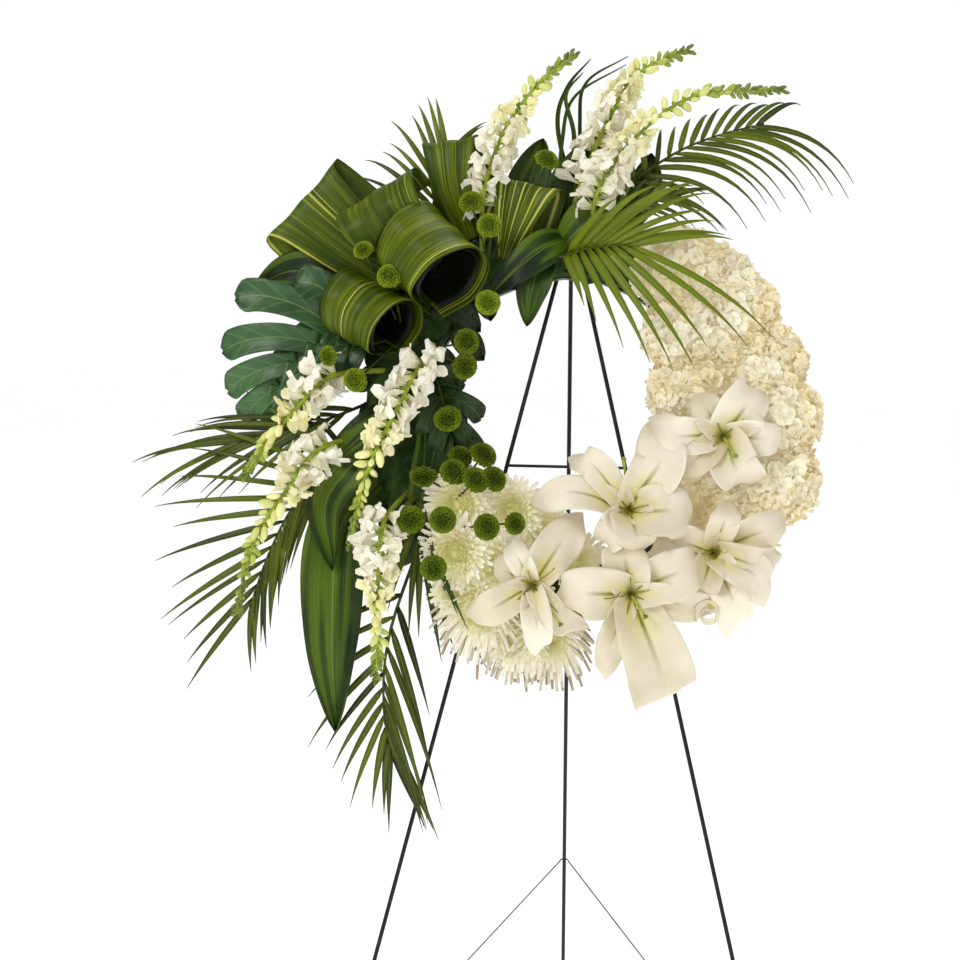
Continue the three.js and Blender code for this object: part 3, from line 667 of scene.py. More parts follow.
# The throat's place, each petal as [right, up, front] of its tip from the throat with its width and how
# high it arches, the pistil's tip from the throat, and where a petal's rolled-up end lies.
LILIES = {
    "front": {
        "throat": (98, -258, 126),
        "petals": [
            (-103, 0, 12, 66), (-12, 84, 4, 58), (103, 47, 10, 62, 10),
            (126, -28, 2, 42, 14), (46, -146, 6, 86), (-39, -118, -2, 36), (66, 86, -18, 50),
        ],
        "pistil": (20, -30, 52),
        "curl": (206, -286, 140),
    },
    "left": {
        "throat": (-43, -246, 116),
        "petals": [
            (-92, -46, 10, 44), (-30, 72, 10, 30), (69, 101, -6, 54),
            (72, -66, -6, 36), (8, -98, 8, 38), (-58, 42, -8, 26),
        ],
        "pistil": (42, -54, 42),
    },
    "middle": {
        "throat": (96, -138, 110),
        "petals": [
            (-86, 72, 22, 38, 22), (46, 120, 16, 64), (-142, -6, 20, 42, 46),
            (92, -22, 24, 68), (14, -62, 34, 52), (-44, -44, 20, 46),
        ],
        "pistil": (-8, 72, 34),
    },
    "top": {
        "throat": (230, -32, 122),
        "petals": [
            (-104, 16, 8, 46), (-35, 66, 2, 40), (56, 66, 4, 60),
            (88, -2, 0, 42), (42, -72, 8, 60), (-78, -56, 0, 40),
        ],
        "pistil": (14, -30, 34),
    },
    "right": {
        "throat": (216, -198, 106),
        "petals": [
            (104, 50, 26, 44, 8), (76, -66, 40, 52), (28, -116, 24, 48),
            (24, 74, 22, 36), (92, -12, 34, 42), (-24, -78, 24, 42), (-70, 18, -4, 44),
        ],
        "pistil": (62, -60, 40),
    },
}


def lily_petal(throat, tip, width, arch, rng):
    """A petal rises out of the trumpet as a channel, opens wide and rolls back at its tip."""
    right, up, front = tip
    outward = at(right, up)
    out = outward.normalized()
    reach = outward.length
    blunt = ease(70, 88, width)
    roll = lerp(0.34, 0.32, blunt) * reach
    phase, waves = rng.uniform(0, 6), rng.uniform(9, 14)
    sway = outward.cross(VIEWER) * rng.uniform(-0.13, 0.13)
    line = curve_through(
        [
            throat + out * 4 - VIEWER * 32,
            throat + out * 10 - VIEWER * 4,
            throat + outward * 0.36 + VIEWER * (17 + front * 0.5) + UP * arch * 0.7 + sway * 0.6,
            throat + outward * lerp(0.62, 0.78, blunt) + VIEWER * (25 + front) + UP * arch + sway,
            throat + outward * lerp(0.86, 1.0, blunt) + VIEWER * (front + 12) + UP * arch * 0.4,
            throat + outward * lerp(1.04, 0.98, blunt) + VIEWER * (front - roll) - sway,
        ]
    )
    twist = rng.uniform(-1, 1)
    rise, fall = lerp(1.25, 1.15, blunt), lerp(0.95, 0.6, blunt)
    peak = rise / (rise + fall)
    fullest = peak**rise * (1 - peak) ** fall

    def wide(share):
        return 8 * (1 - share) + 0.8 + 1.08 * width * share**rise * (1 - share) ** fall / fullest

    def lift(x, share):
        near = wide(share)
        channel = lerp(0.36, -0.12, ease(0.2, 0.9, share)) * near * x * x
        groove = -0.06 * near * (1 - min(1, abs(x) * 3)) ** 2 * (1 - share)
        frill = 0.17 * near * abs(x) ** 3 * sin(waves * share + phase + 1.5 * x) * ease(0.25, 0.5, share)
        swing = twist * 0.2 * near * x * sin(pi * share)
        return channel + groove + frill + swing

    petal = ribbon(line, outward.cross(VIEWER), wide, 16, 32, lift, rng.random())
    return paint(petal, LILY)


def curled_tip(centre):
    """The end of a petal that has rolled up sideways."""
    turn = [
        at(*centre) + at(cos(angle), sin(angle), 0.2) * radius
        for angle, radius in ((radians(215 - 62 * i), 19 - 1.7 * i) for i in range(10))
    ]
    side = (VIEWER + UP * 0.6).normalized()
    return paint(ribbon(curve_through(turn), side, lambda share: 24 - 13 * share, 6, 30, tone=0.7), LILY)


def lily(name, throat, petals, pistil, curl=None):
    rng = Random(name)
    centre = at(*throat)
    leaves = [lily_petal(centre, petal[:3], petal[3], sum(petal[4:]), rng) for petal in petals]
    if curl:
        leaves.append(curled_tip(curl))
    cup = thicken(join(leaves), PETAL_THICKNESS)
    reach = at(*pistil)
    tip = centre + reach
    line = bezier(centre - VIEWER * 22, centre + reach * 0.2, centre + reach * 0.6 + VIEWER * 8, tip)
    style = paint(rods([stem(line, 2.6, 1.7)], 3), PISTIL)
    knobs = [
        ball((2.8, 2.8, 2), placed(tip + Vector((cos(a), -0.6, sin(a))) * 1.6, reach), 0.5, 1)
        for a in (0, 2.1, 4.2)
    ]
    threads = []
    for right, up, *_ in petals:
        out = at(right, up).normalized()
        end = centre + out * rng.uniform(34, 46) + reach * 0.2 + VIEWER * 12
        thread = bezier(centre - VIEWER * 16, centre + out * 3 + VIEWER * 2, end - out * 12, end)
        threads.append(stem(thread, 1.5, 0.8))
    stamens = paint(rods(threads, 2), FILAMENT)
    line = bezier(*(centre - VIEWER * depth for depth in (70, 56, 40, 26)))
    stalk = paint(rods([stem(line, 3.4, 6)], 3), GREEN_STEM)
    return [cup, style, *(paint(knob, FILAMENT) for knob in knobs), stamens, stalk]


for name, facts in LILIES.items():
    finish_piece(lily(name, **facts), f"lily_{name}_flower", [f"lily_{name}"])

# ---- hydrangeas ------------------------------------------------------------------------------

# [right, up, front, radius] of each head, and of the smaller clusters that close the gaps behind it.
HYDRANGEAS = [
    (172, 210, 70, 62), (250, 152, 70, 60), (292, 78, 68, 58), (312, -4, 66, 60),
    (308, -96, 68, 62), (184, 40, 72, 60), (176, 122, 76, 58),
]
HYDRANGEA_CLUSTERS = [
    (140, 212, 50, 44), (226, 204, 48, 46), (238, 96, 66, 48), (246, 20, 56, 56),
    (250, -150, 52, 66), (176, -84, 58, 60), (178, -34, 54, 46),
]


CLEAR_OF_TRAY = 22  # florets start at least this far in front of the tray's back
AREA_OF_FLORET = 15.5  # a head has its radius squared over this many florets
HEAD_CORE = 0.66  # the solid middle of a head, as a share of its radius


def hydrangea_floret(rng, fold):
    """Four broad crumpled petals round a small heart."""
    petals = []
    for i in range(4):
        angle = i * pi / 2 + rng.uniform(-0.15, 0.15)
        out = Vector((cos(angle), sin(angle), 0))
        length = rng.uniform(14, 18)
        rise = fold * rng.uniform(0.5, 1.1) * length
        middle = out * length * 0.55 + UP * rise * 0.4
        line = curve_through([out * 1.2, middle, out * length + UP * rise])
        phase = rng.uniform(0, 6)
        petals.append(
            ribbon(
                line,
                UP.cross(out) * -1,
                lambda share: 5 + 16 * sin(pi * (0.1 + 0.78 * share)) ** 0.7,
                4,
                3,
                lambda x, share: 2.2 * x * x * share + 2.6 * share * sin(4.4 * x + phase),
            )
        )
    return join(petals)


floret_rng = Random(FLORET_SEED)
FLORETS = [hydrangea_floret(floret_rng, fold) for fold in (0.1, 0.35, 0.6)]


def hydrangea_head(right, up, front, radius, rng):
    centre = at(right, up, front)
    outward = at(right, up).normalized() * 0.35 + VIEWER
    turn = placed(centre, outward)
    # Its tone of 0 paints the core in the darker beige of painted shade between the florets.
    core = ball((radius * HEAD_CORE,) * 3, turn, 0.0)
    places = [[] for _ in FLORETS]
    count = round(radius * radius / AREA_OF_FLORET)
    for direction in dome(count, -0.95):
        tilt = Vector([rng.uniform(-0.7, 0.7) for _ in range(3)])
        reach = radius * rng.uniform(0.84, 0.97)
        where = turn @ (direction * reach)
        if where.dot(VIEWER) < CLEAR_OF_TRAY:
            continue
        facing = turn.to_3x3() @ (direction + tilt)
        matrix = placed(where, facing, rng.uniform(0, 6), rng.uniform(0.58, 0.88))
        places[rng.randrange(len(FLORETS))].append((matrix, rng.uniform(0.35, 1)))
    blooms = [copy for floret, spots in zip(FLORETS, places) for copy in copies(floret, spots)]
    return [paint(one, HYDRANGEA) for one in (core, *blooms)]


for i, (head, cluster) in enumerate(zip(HYDRANGEAS, HYDRANGEA_CLUSTERS), 1):
    head_rng = Random(HYDRANGEA_SEED + i)
    blooms = hydrangea_head(*head, head_rng) + hydrangea_head(*cluster, head_rng)
    finish_piece(blooms, f"hydrangea_{i}_flowers", [f"hydrangea_{i}"])
drop(*FLORETS)

# ---- white mums ------------------------------------------------------------------------------

# [right, up, front, radius] of each head.
WHITE_MUMS = [
    (-152, -128, 92, 52), (-74, -138, 84, 48), (-155, -200, 100, 54), (-92, -218, 98, 50),
    (-120, -284, 76, 66), (-22, -322, 68, 60),
]
# Petals in each ring, from the heart outwards: how many, their length as a share of the head's radius,
# and how far they lean out from its axis, in degrees.
MUM_RINGS = [
    (10, 0.32, 3), (14, 0.38, 12), (18, 0.46, 22), (22, 0.56, 32), (26, 0.66, 43),
    (30, 0.78, 54), (34, 0.9, 65), (34, 1.0, 78), (30, 1.04, 92),
]
HANGING_BELOW = -270  # heads lower than this hang their petals


def mum_petal(root, axis, out, length, lean, droop, tone, rng):
    """A narrow channelled petal that leans out from the head's axis and curls in or hangs at its tip."""
    lean = radians(lean)
    way = axis * cos(lean) + out * sin(lean)
    end = root + way * length - UP * droop
    middle = root + way * length * 0.5 + out * length * 0.14
    width = lerp(6.2, 3.8, min(1, droop / length * 4)) + rng.uniform(-0.8, 0.8)
    return ribbon(
        curve_through([root, middle, end]),
        axis.cross(out) * -1,
        lambda share: 1.6 + width * sin(pi * min(1, 0.12 + 0.74 * share)) ** 0.8,
        2,
        5,
        lambda x, share: 1.6 * x * x,
        tone,
    )


def white_mum(right, up, front, radius, rng, droop=0.0):
    centre = at(right, up, front)
    axis = (at(right, up).normalized() * 0.3 + VIEWER).normalized()
    turn = placed(centre, axis).to_3x3()
    petals = []
    for ring, (count, share, lean) in enumerate(MUM_RINGS):
        for i in range(count):
            angle = 2 * pi * (i + 0.5 * (ring % 2) + rng.uniform(-0.25, 0.25)) / count
            out = turn @ Vector((cos(angle), sin(angle), 0))
            root = centre + out * radius * 0.1 - axis * radius * 0.12
            length = radius * share * rng.uniform(0.88, 1.08)
            hang = droop * (ring / len(MUM_RINGS)) ** 2 * rng.uniform(0.4, 1.2) * length
            # On hanging heads the outer rings' tone goes past 1, into the painted shade.
            tone = ring / (len(MUM_RINGS) - 1) * (1 + 0.9 * droop)
            petals.append(mum_petal(root, axis, out, length, lean + rng.uniform(-6, 6), hang, tone, rng))
    heart, calyx = (
        ball((radius * wide, radius * wide, radius * deep), placed(centre - axis * radius * back, axis), 0.5)
        for wide, deep, back in ((0.5, 0.24, 0.14), (0.26, 0.16, 0.34))
    )
    return [*(paint(one, MUM) for one in (*petals, heart)), paint(calyx, GREEN_STEM)]


# Heads behind and between these, by the number of the head they belong with.
MUM_EXTRA = {
    1: [(-112, -156, 66, 50)],
    2: [(-30, -172, 70, 46), (16, -212, 56, 44)],
    4: [(-150, -252, 84, 48), (-64, -262, 60, 50)],
    5: [(-66, -326, 64, 54)],
}
for i, head in enumerate(WHITE_MUMS, 1):
    head_rng = Random(MUM_SEED + i)
    droop = 0.45 if head[1] < HANGING_BELOW else 0.0
    blooms = white_mum(*head, head_rng, droop)
    for extra in MUM_EXTRA.get(i, []):
        blooms += white_mum(*extra, head_rng, droop)
    finish_piece(blooms, f"white_mum_{i}_flower", [f"white_mum_{i}"])

# ---- green button mums -----------------------------------------------------------------------

# Where each spray forks, and [right, up, front, radius] of its heads.
BUTTON_SPRAYS = [
    (
        (-235, 120, 58),
        [(-286, 236, 140, 14), (-246, 196, 158, 17), (-338, 84, 128, 14), (-298, 48, 132, 17)],
    ),
    (
        (-110, 225, 58),
        [(-104, 270, 140, 17), (-132, 308, 118, 17), (-22, 366, 128, 17), (-106, 158, 140, 17)],
    ),
    (
        (-200, 100, 55),
        [(-138, 106, 108, 18), (-141, 70, 104, 18), (-164, -8, 128, 19), (-200, -90, 118, 19)],
    ),
    (
        (-200, -160, 58),
        [
            (-147, -60, 110, 17), (-113, -58, 118, 19), (-155, -83, 128, 19), (-122, -95, 138, 18),
            (-97, -93, 125, 18), (-168, -153, 160, 18), (-105, -163, 160, 18), (-65, -158, 158, 15),
            (-217, -152, 130, 19), (-182, -222, 150, 18),
        ],
    ),
]


def button_mum(rng):
    """A tight dome of short blunt petals, of radius 1."""
    petals = []
    for direction in dome(100, -0.3):
        root = direction * 0.62
        flat = Vector((direction.x, direction.y, 0))
        out = flat.normalized() if flat.length > 0.05 else Vector((1, 0, 0))
        dimple = 0.16 * ease(0.82, 1, direction.z)
        tip = direction * (1 - dimple) + (out * 0.06 - UP * 0.1) * (1 - direction.z)
        side = direction.cross(out if abs(direction.z) < 0.99 else Vector((0, 1, 0)))
        if side.length < 0.01:
            side = Vector((0, 1, 0))
        petals.append(
            ribbon(
                curve_through([root, (root + tip) / 2 + out * 0.03, tip]),
                side.normalized(),
                lambda share: 0.14 + 0.2 * sin(pi * min(1, 0.2 + 0.62 * share)),
                2,
                2,
                lambda x, share: 0.05 * x * x,
                rng.uniform(0.2, 1),
            )
        )
    core = ball((0.74, 0.74, 0.6), Matrix(), 0.0)
    return paint(join([*petals, core]), BUTTON)


button_rng = Random(BUTTON_SEED)
BUTTON_HEAD = button_mum(button_rng)
for i, (fork, heads) in enumerate(BUTTON_SPRAYS, 1):
    start = at(*fork)
    blooms, stalks = [], []
    for right, up, front, radius in heads:
        centre = at(right, up, front)
        facing = at(right - fork[0], up - fork[1], 2 * (front - fork[2]))
        flattened = Matrix.Diagonal((radius * 1.02, radius * 1.02, radius * 0.7, 1))
        matrix = placed(centre, facing, button_rng.uniform(0, 6)) @ flattened
        bloom = BUTTON_HEAD.data.copy()
        bloom.transform(matrix)
        blooms.append(paint(part(bloom), BUTTON if i < 3 else DEEP_BUTTON))
        back = centre - facing.normalized() * radius * 0.6
        stalks.append(stem(bezier(start, start + VIEWER * 24, back - facing * 0.3, back), 1.9, 1.5, 8))
    spray = [*blooms, paint(rods(stalks, 2), DARK_STEM)]
    finish_piece(spray, f"button_spray_{i}_flowers", [f"button_spray_{i}"])
drop(BUTTON_HEAD)

# ---- snapdragons -----------------------------------------------------------------------------

# Points of each stem, from the foam to its tip, and the share of it below which the flowers are open.
SNAPDRAGONS = [
    ([(-262, 70, 50), (-335, 56, 112), (-388, 4, 124), (-430, -42, 114), (-464, -88, 98)], 0.5),
    ([(-268, -20, 50), (-352, -50, 112), (-398, -110, 124), (-446, -184, 118), (-476, -290, 94)], 0.5),
    ([(-190, 105, 70), (-206, 62, 146), (-244, -12, 152), (-280, -88, 140), (-306, -188, 118)], 0.6),
    ([(-228, -110, 58), (-256, -156, 128), (-262, -226, 138), (-264, -300, 128), (-268, -382, 108)], 0.6),
    ([(-120, 245, 56), (-116, 320, 86), (-90, 402, 104), (-46, 472, 96), (14, 530, 76)], 0.62),
    ([(0, 262, 50), (36, 362, 92), (72, 440, 98), (112, 500, 92), (184, 536, 72)], 0.66),
    ([(40, 255, 56), (50, 318, 112), (98, 390, 122), (186, 456, 116), (318, 472, 84)], 0.56),
]
FLOWER_SPACING = 11.5  # along the stem, for one of full size
FLOWER_SIZE = 1.42


def snapdragon_flower(rng):
    """An open flower along +Z: a plump tube with two upright lobes over three that spread and hang."""
    lobes = []
    for angle, flare, rise in ((-30, 15, 25), (30, 15, 25), (120, 17, 15), (180, 19, 11), (240, 17, 15)):
        turn = radians(angle + rng.uniform(-9, 9))
        out = Vector((cos(turn), sin(turn), 0))
        flare *= rng.uniform(0.85, 1.15)
        edge = out * flare + UP * rise * rng.uniform(0.85, 1.1)
        line = curve_through([out * 2, out * 5.5 + UP * 8, out * 7.5 + UP * 16, edge])
        phase = rng.uniform(0, 6)
        lobes.append(
            ribbon(
                line,
                UP.cross(out) * -1,
                lambda share: 4 + 12.5 * ease(0.05, 0.75, share) * (1 - ease(0.78, 1.06, share)) ** 0.6,
                5,
                7,
                lambda x, share: 1.7 * sin(2.6 * x + phase) * ease(0.4, 0.95, share) - 1.4 * x * x,
            )
        )
    return join(lobes)


def snapdragon_bud():
    """A bud along +Z: a plump drop with a blunt, folded tip."""
    bud = ball((5.6, 4.8, 10.5), Matrix.Translation((0, 0, 9.5)), 0.1, 2)
    for vertex in bud.data.vertices:
        vertex.co.x += 0.014 * vertex.co.z**2
        neck = lerp(0.55, 1, ease(0, 7, vertex.co.z))
        fold = 1 - 0.22 * ease(8, 18, vertex.co.z) * (1 - min(1, abs(vertex.co.y) / 2))
        vertex.co.x *= neck * fold
        vertex.co.y *= neck
    return bud


def snapdragon_spike(points, open_share, rng):
    """Open flowers at both sides of the stem and behind it, then buds that shrink towards the tip."""
    line = curve_through([at(*p) for p in points])
    length = sum((Vector(b) - Vector(a)).length for a, b in zip(points, points[1:]))
    spots = {id(one): [] for one in (*SNAP_FLOWERS, SNAP_BUD)}
    calyxes = []
    share, side_sign = 0.16, 1
    while share < 0.995:
        along = tangent_at(line, share)
        side = along.cross(VIEWER).normalized()
        forward = side.cross(along)
        side_sign = -side_sign
        ripe = 1 - ease(open_share, 1.0, share)
        if share < open_share:
            grown = 1 - ease(0.3, open_share, share) * 0.3
            turn = side_sign * radians(rng.uniform(40, 125))
            size = FLOWER_SIZE * grown * rng.uniform(0.85, 1.1)
            lean = rng.uniform(0.2, 0.6)
            tone = lerp(1.0, 0.7, ease(0.5, 1, share / open_share)) + rng.uniform(-0.06, 0.06)
            shape = rng.choice(SNAP_FLOWERS)
            share += FLOWER_SPACING * grown / length
        else:
            turn = side_sign * radians(rng.uniform(5, 150))
            size = lerp(0.5, 1.15, ripe) * rng.uniform(0.8, 1.2)
            lean = lerp(1.8, 0.8, ripe)
            tone = 0.56 * ripe + rng.uniform(-0.1, 0.1)
            shape = SNAP_BUD
            share += lerp(2.2, 8.5, ripe) / length
        out = side * sin(turn) + forward * cos(turn)
        matrix = placed(line(share) + out * 2.5, out + along * lean, rng.uniform(0, 6), size)
        spots[id(shape)].append((matrix, tone))
        calyxes.append((matrix, 0.5))
    blooms = [copy for one in (*SNAP_FLOWERS, SNAP_BUD) for copy in copies(one, spots[id(one)])]
    green = copies(CALYX, calyxes)
    stalk = rods([stem(line, 4.2, 1.8, 24)], 3)
    return [paint(one, SNAPDRAGON) for one in blooms] + [paint(one, LIME_STEM) for one in (*green, stalk)]


snap_rng = Random(SNAPDRAGON_SEED)
SNAP_FLOWERS = [snapdragon_flower(snap_rng) for _ in range(4)]
SNAP_BUD = snapdragon_bud()
CALYX = ball((3.9, 3.9, 4.2), Matrix.Translation((0, 0, 1.5)), 0.5, 1)
for i, (points, open_share) in enumerate(SNAPDRAGONS, 1):
    spike = snapdragon_spike(points, open_share, snap_rng)
    finish_piece(spike, f"snapdragon_{i}_spike", [f"snapdragon_{i}"])
drop(*SNAP_FLOWERS, SNAP_BUD, CALYX)

# ---- rolled aspidistra leaves ----------------------------------------------------------------


def roll_points(centre, axis, radius, start, sweep):
    """Points round an axis, for the middle line of a leaf that is rolled round it."""
    along = at(*axis).normalized()
    first = VIEWER.cross(along).normalized()
    second = along.cross(first)
    angles = [radians(start + sweep * i / 6) for i in range(7)]
    return [at(*centre) + first * (radius * cos(angle)) + second * (radius * sin(angle)) for angle in angles]


# The turns inside a roll, painted near-black as the shade within it: the radius of each as a share of the
# roll's, and how far back it is set, as a share of the leaf's width.
WINDINGS = ((0.87, 0.04), (0.6, 0.3), (0.34, 0.3))

# Each leaf's pale stripes, its direction across it, and its width where it is gathered and where it opens.
# Its middle line is given as points, or as its foot and the centre, radius, start and sweep of its roll.
LEAF_LOOPS = {
    "front": {
        "stripes": [(0.93, 0.012, 0.9), (0.89, 0.007, 0.7), (0.84, 0.004, 0.4), (0.3, 0.003, 0.3)],
        "across": (0.6, -0.65, 0.45),
        "width": (44, 126),
        "foot": (-205, 165, 56),
        "roll": ((-192, 224, 124), 60, 200, -335),
        "windings": WINDINGS,
    },
    "lower": {
        "stripes": [(0.42, 0.014, 0.95), (0.38, 0.004, 0.5), (0.5, 0.004, 0.4), (0.97, 0.01, 0.5)],
        "across": (0.76, -0.46, 0.45),
        "width": (44, 126),
        "foot": (-242, 112, 56),
        "roll": ((-282, 146, 104), 48, 215, -330),
        "windings": WINDINGS,
    },
    "middle": {
        "stripes": [(0.9, 0.008, 0.6), (0.8, 0.004, 0.5), (0.4, 0.003, 0.3)],
        "across": (0.86, 0.43, 0.26),
        "width": (50, 136),
        "foot": (-222, 215, 56),
        "roll": ((-254, 294, 88), 40, 235, -300),
    },
    "outer": {
        "stripes": [
            (0.6, 0.02, 0.7), (0.66, 0.008, 0.8), (0.52, 0.006, 0.6), (0.02, 0.02, 0.8), (0.3, 0.004, 0.4),
        ],
        "across": (0.66, 0.75, 0),
        "width": (60, 172),
        "line": [
            (-236, 198, 48), (-306, 252, 66), (-376, 312, 70), (-388, 322, 58), (-376, 312, 46),
            (-300, 246, 40), (-240, 190, 36),
        ],
    },
    "top": {
        "stripes": [(0.35, 0.008, 0.5), (0.45, 0.005, 0.5), (0.62, 0.006, 0.4)],
        "across": (0.97, 0.12, 0.2),
        "width": (36, 96),
        "line": [
            (-138, 262, 56), (-160, 330, 84), (-166, 392, 86), (-166, 406, 72), (-160, 388, 54),
            (-144, 310, 44), (-136, 262, 44),
        ],
    },
    "striped": {
        "stripes": [
            (0.12, 0.03, 0.9), (0.2, 0.012, 0.8), (0.36, 0.014, 0.9), (0.5, 0.02, 0.9), (0.58, 0.008, 0.7),
            (0.72, 0.02, 0.9), (0.9, 0.03, 0.9),
        ],
        "across": (0.96, -0.26, 0.08),
        "width": (20, 118),
        "line": [
            (-88, 232, 66), (-72, 282, 96), (-56, 330, 104), (-52, 338, 90), (-58, 320, 66), (-84, 246, 54),
        ],
    },
}
for i, (name, facts) in enumerate(LEAF_LOOPS.items()):
    gathered, wide = facts["width"]
    across = facts["across"]
    if "roll" in facts:
        centre, radius, start, sweep = facts["roll"]
        points = [at(*facts["foot"]), *roll_points(centre, across, radius, start, sweep)]
    else:
        points = [at(*p) for p in facts["line"]]
    loop = ribbon(
        curve_through(points),
        at(*across),
        lambda share: lerp(gathered, wide, sin(pi * min(1, 1.3 * share) * 0.5)),
        28,
        90,
        lambda x, share: 1.5 * sin(9 * share + 2 * x) + 1.2 * cos(7 * x),
        0.13 + 0.17 * i,
    )
    thicken(loop, LEAF_THICKNESS)
    paint(loop, aspidistra_material(name, facts["stripes"]))
    inside = []
    axis = at(*across).normalized()
    for share, back in facts.get("windings", ()):
        turn = roll_points(centre, across, radius * share, start, sweep)
        turn = curve_through([point - axis * (wide * back) for point in turn])
        winding = ribbon(turn, axis, lambda _: wide * (0.95 - 1.6 * back), 8, 40, tone=share)
        # The inner turns are near-black, painted shade of the roll's inside.
        inside.append(paint(thicken(winding, LEAF_THICKNESS), SHADED_INSIDE_LEAF))
    finish_piece([loop, *inside], f"rolled_leaf_{name}", [f"leaf_loop_{name}"])

# ---- broad leaves ----------------------------------------------------------------------------

# For each leaf, and those beside it, points of the midrib from the foam to the tip, and the greatest width.
LEAVES = [
    [([(-240, 150, 40), (-330, 205, 60), (-400, 218, 56), (-456, 202, 40)], 66)],
    [
        ([(16, 262, 56), (-20, 246, 98), (-60, 216, 106), (-108, 172, 96)], 52),
        ([(-24, 244, 60), (-36, 212, 90), (-46, 176, 96), (-52, 130, 88)], 50),
    ],
    [
        ([(20, 240, 30), (6, 310, 60), (32, 366, 66), (70, 418, 52)], 72),
        ([(-60, 250, 36), (-56, 320, 56), (-44, 366, 60), (-30, 410, 50)], 62),
        ([(-10, 240, 60), (30, 276, 92), (70, 304, 96), (118, 334, 84)], 66),
        ([(40, 250, 40), (96, 300, 70), (120, 340, 76), (128, 384, 62)], 56),
        ([(6, 300, 60), (16, 404, 82), (4, 466, 88), (29, 503, 80)], 4),
        ([(-10, 290, 56), (-2, 400, 76), (17, 466, 86), (92, 514, 78)], 3),
        ([(22, 300, 50), (-8, 420, 70), (5, 480, 78), (40, 525, 70)], 4),
        ([(30, 300, 50), (24, 430, 66), (34, 490, 72), (95, 530, 62)], 3),
    ],
    [
        ([(-245, -70, 30), (-325, -160, 70), (-338, -320, 74), (-333, -462, 60)], 92),
        ([(-236, 30, 40), (-300, -60, 84), (-346, -130, 88), (-336, -226, 80)], 62),
    ],
    [
        ([(-242, 20, 40), (-270, -10, 96), (-318, -52, 90), (-350, -84, 70)], 50),
        ([(-210, 60, 40), (-186, -30, 84), (-200, -100, 88), (-226, -170, 76)], 54),
    ],
]


def broad_leaf(points, width, tone, columns=10, rows=28):
    start, end = Vector(points[0]), Vector(points[-1])
    side = at(end.y - start.y, start.x - end.x).normalized()

    def lift(x, share):
        groove = 0.03 * (1 - min(1, abs(x) * 5))
        return width * (0.09 * x * x - groove + 0.02 * sin(12 * share + 3 * x))

    return ribbon(
        curve_through([at(*p) for p in points]),
        side,
        lambda share: 0.5 + 3.5 * (1 - share) + width * sin(pi * share**0.9) ** 0.75,
        columns,
        rows,
        lift,
        tone,
    )


for i, group in enumerate(LEAVES, 1):
    leaves = [
        thicken(paint(broad_leaf(points, width, (0.12 * i + 0.31 * k) % 1), DARK_LEAF), LEAF_THICKNESS)
        for k, (points, width) in enumerate(group)
    ]
    finish_piece(leaves, f"broad_leaf_{i}_blade", [f"broad_leaf_{i}"])

# ---- monstera leaves -------------------------------------------------------------------------

# Points of the midrib from the stalk to the tip, how long the lobes of its left and right side are, from
# the stalk to the tip, and how wide one is.
MONSTERAS = [
    (
        [(-286, 140, 46), (-340, 122, 64), (-398, 74, 62), (-446, 2, 44)],
        (66, 84, 80, 66, 46), (96, 128, 112, 88, 60), 52,
    ),
    (
        [(-196, 66, 70), (-176, 30, 82), (-164, -20, 84), (-168, -84, 72)],
        (40, 52, 48, 36), (44, 56, 52, 40), 34,
    ),
]


def monstera(points, left, right, lobe_width):
    """A blade along the midrib, with lobes that curve towards the tip and leave slots between them."""
    midrib = curve_through([at(*p) for p in points])
    heart = ribbon(
        midrib,
        tangent_at(midrib, 0.5).cross(VIEWER),
        lambda share: 6 + lobe_width * 1.5 * sin(pi * min(1, 0.16 + 0.8 * share)) ** 0.6,
        8,
        24,
        lambda x, share: 5 * x * x,
        0.5,
    )
    parts = [heart]
    for sign, lobes in ((1, left), (-1, right)):
        for i, length in enumerate(lobes):
            done = i / (len(lobes) - 1)
            share = lerp(0.1, 0.8, done)
            along = tangent_at(midrib, share)
            out = along.copy()
            out.rotate(Quaternion(VIEWER, sign * radians(lerp(66, 26, done))))
            start = midrib(share) + VIEWER * 1.2
            line = curve_through(
                [
                    start,
                    start + out * length * 0.5 + VIEWER * 8,
                    start + out * length * 0.86 + along * length * 0.16 + VIEWER * 1,
                    start + out * length + along * length * 0.4 - VIEWER * 16,
                ]
            )
            wide = lobe_width * lerp(1.0, 0.8, done)
            parts.append(
                ribbon(
                    line,
                    out.cross(VIEWER),
                    lambda s, wide=wide: wide * lerp(0.72, 1.1, s) * (1 - ease(0.84, 1.01, s)) ** 0.4 + 0.6,
                    8,
                    18,
                    lambda x, s, wide=wide: 0.1 * wide * x * x,
                    0.3 + 0.1 * i,
                )
            )
    return join(parts)


for i, (facts, material) in enumerate(zip(MONSTERAS, MONSTERA), 1):
    leaf = thicken(paint(monstera(*facts), material), LEAF_THICKNESS)
    finish_piece([leaf], f"monstera_{i}_blade", [f"monstera_leaf_{i}"])

# ---- palm fronds -----------------------------------------------------------------------------

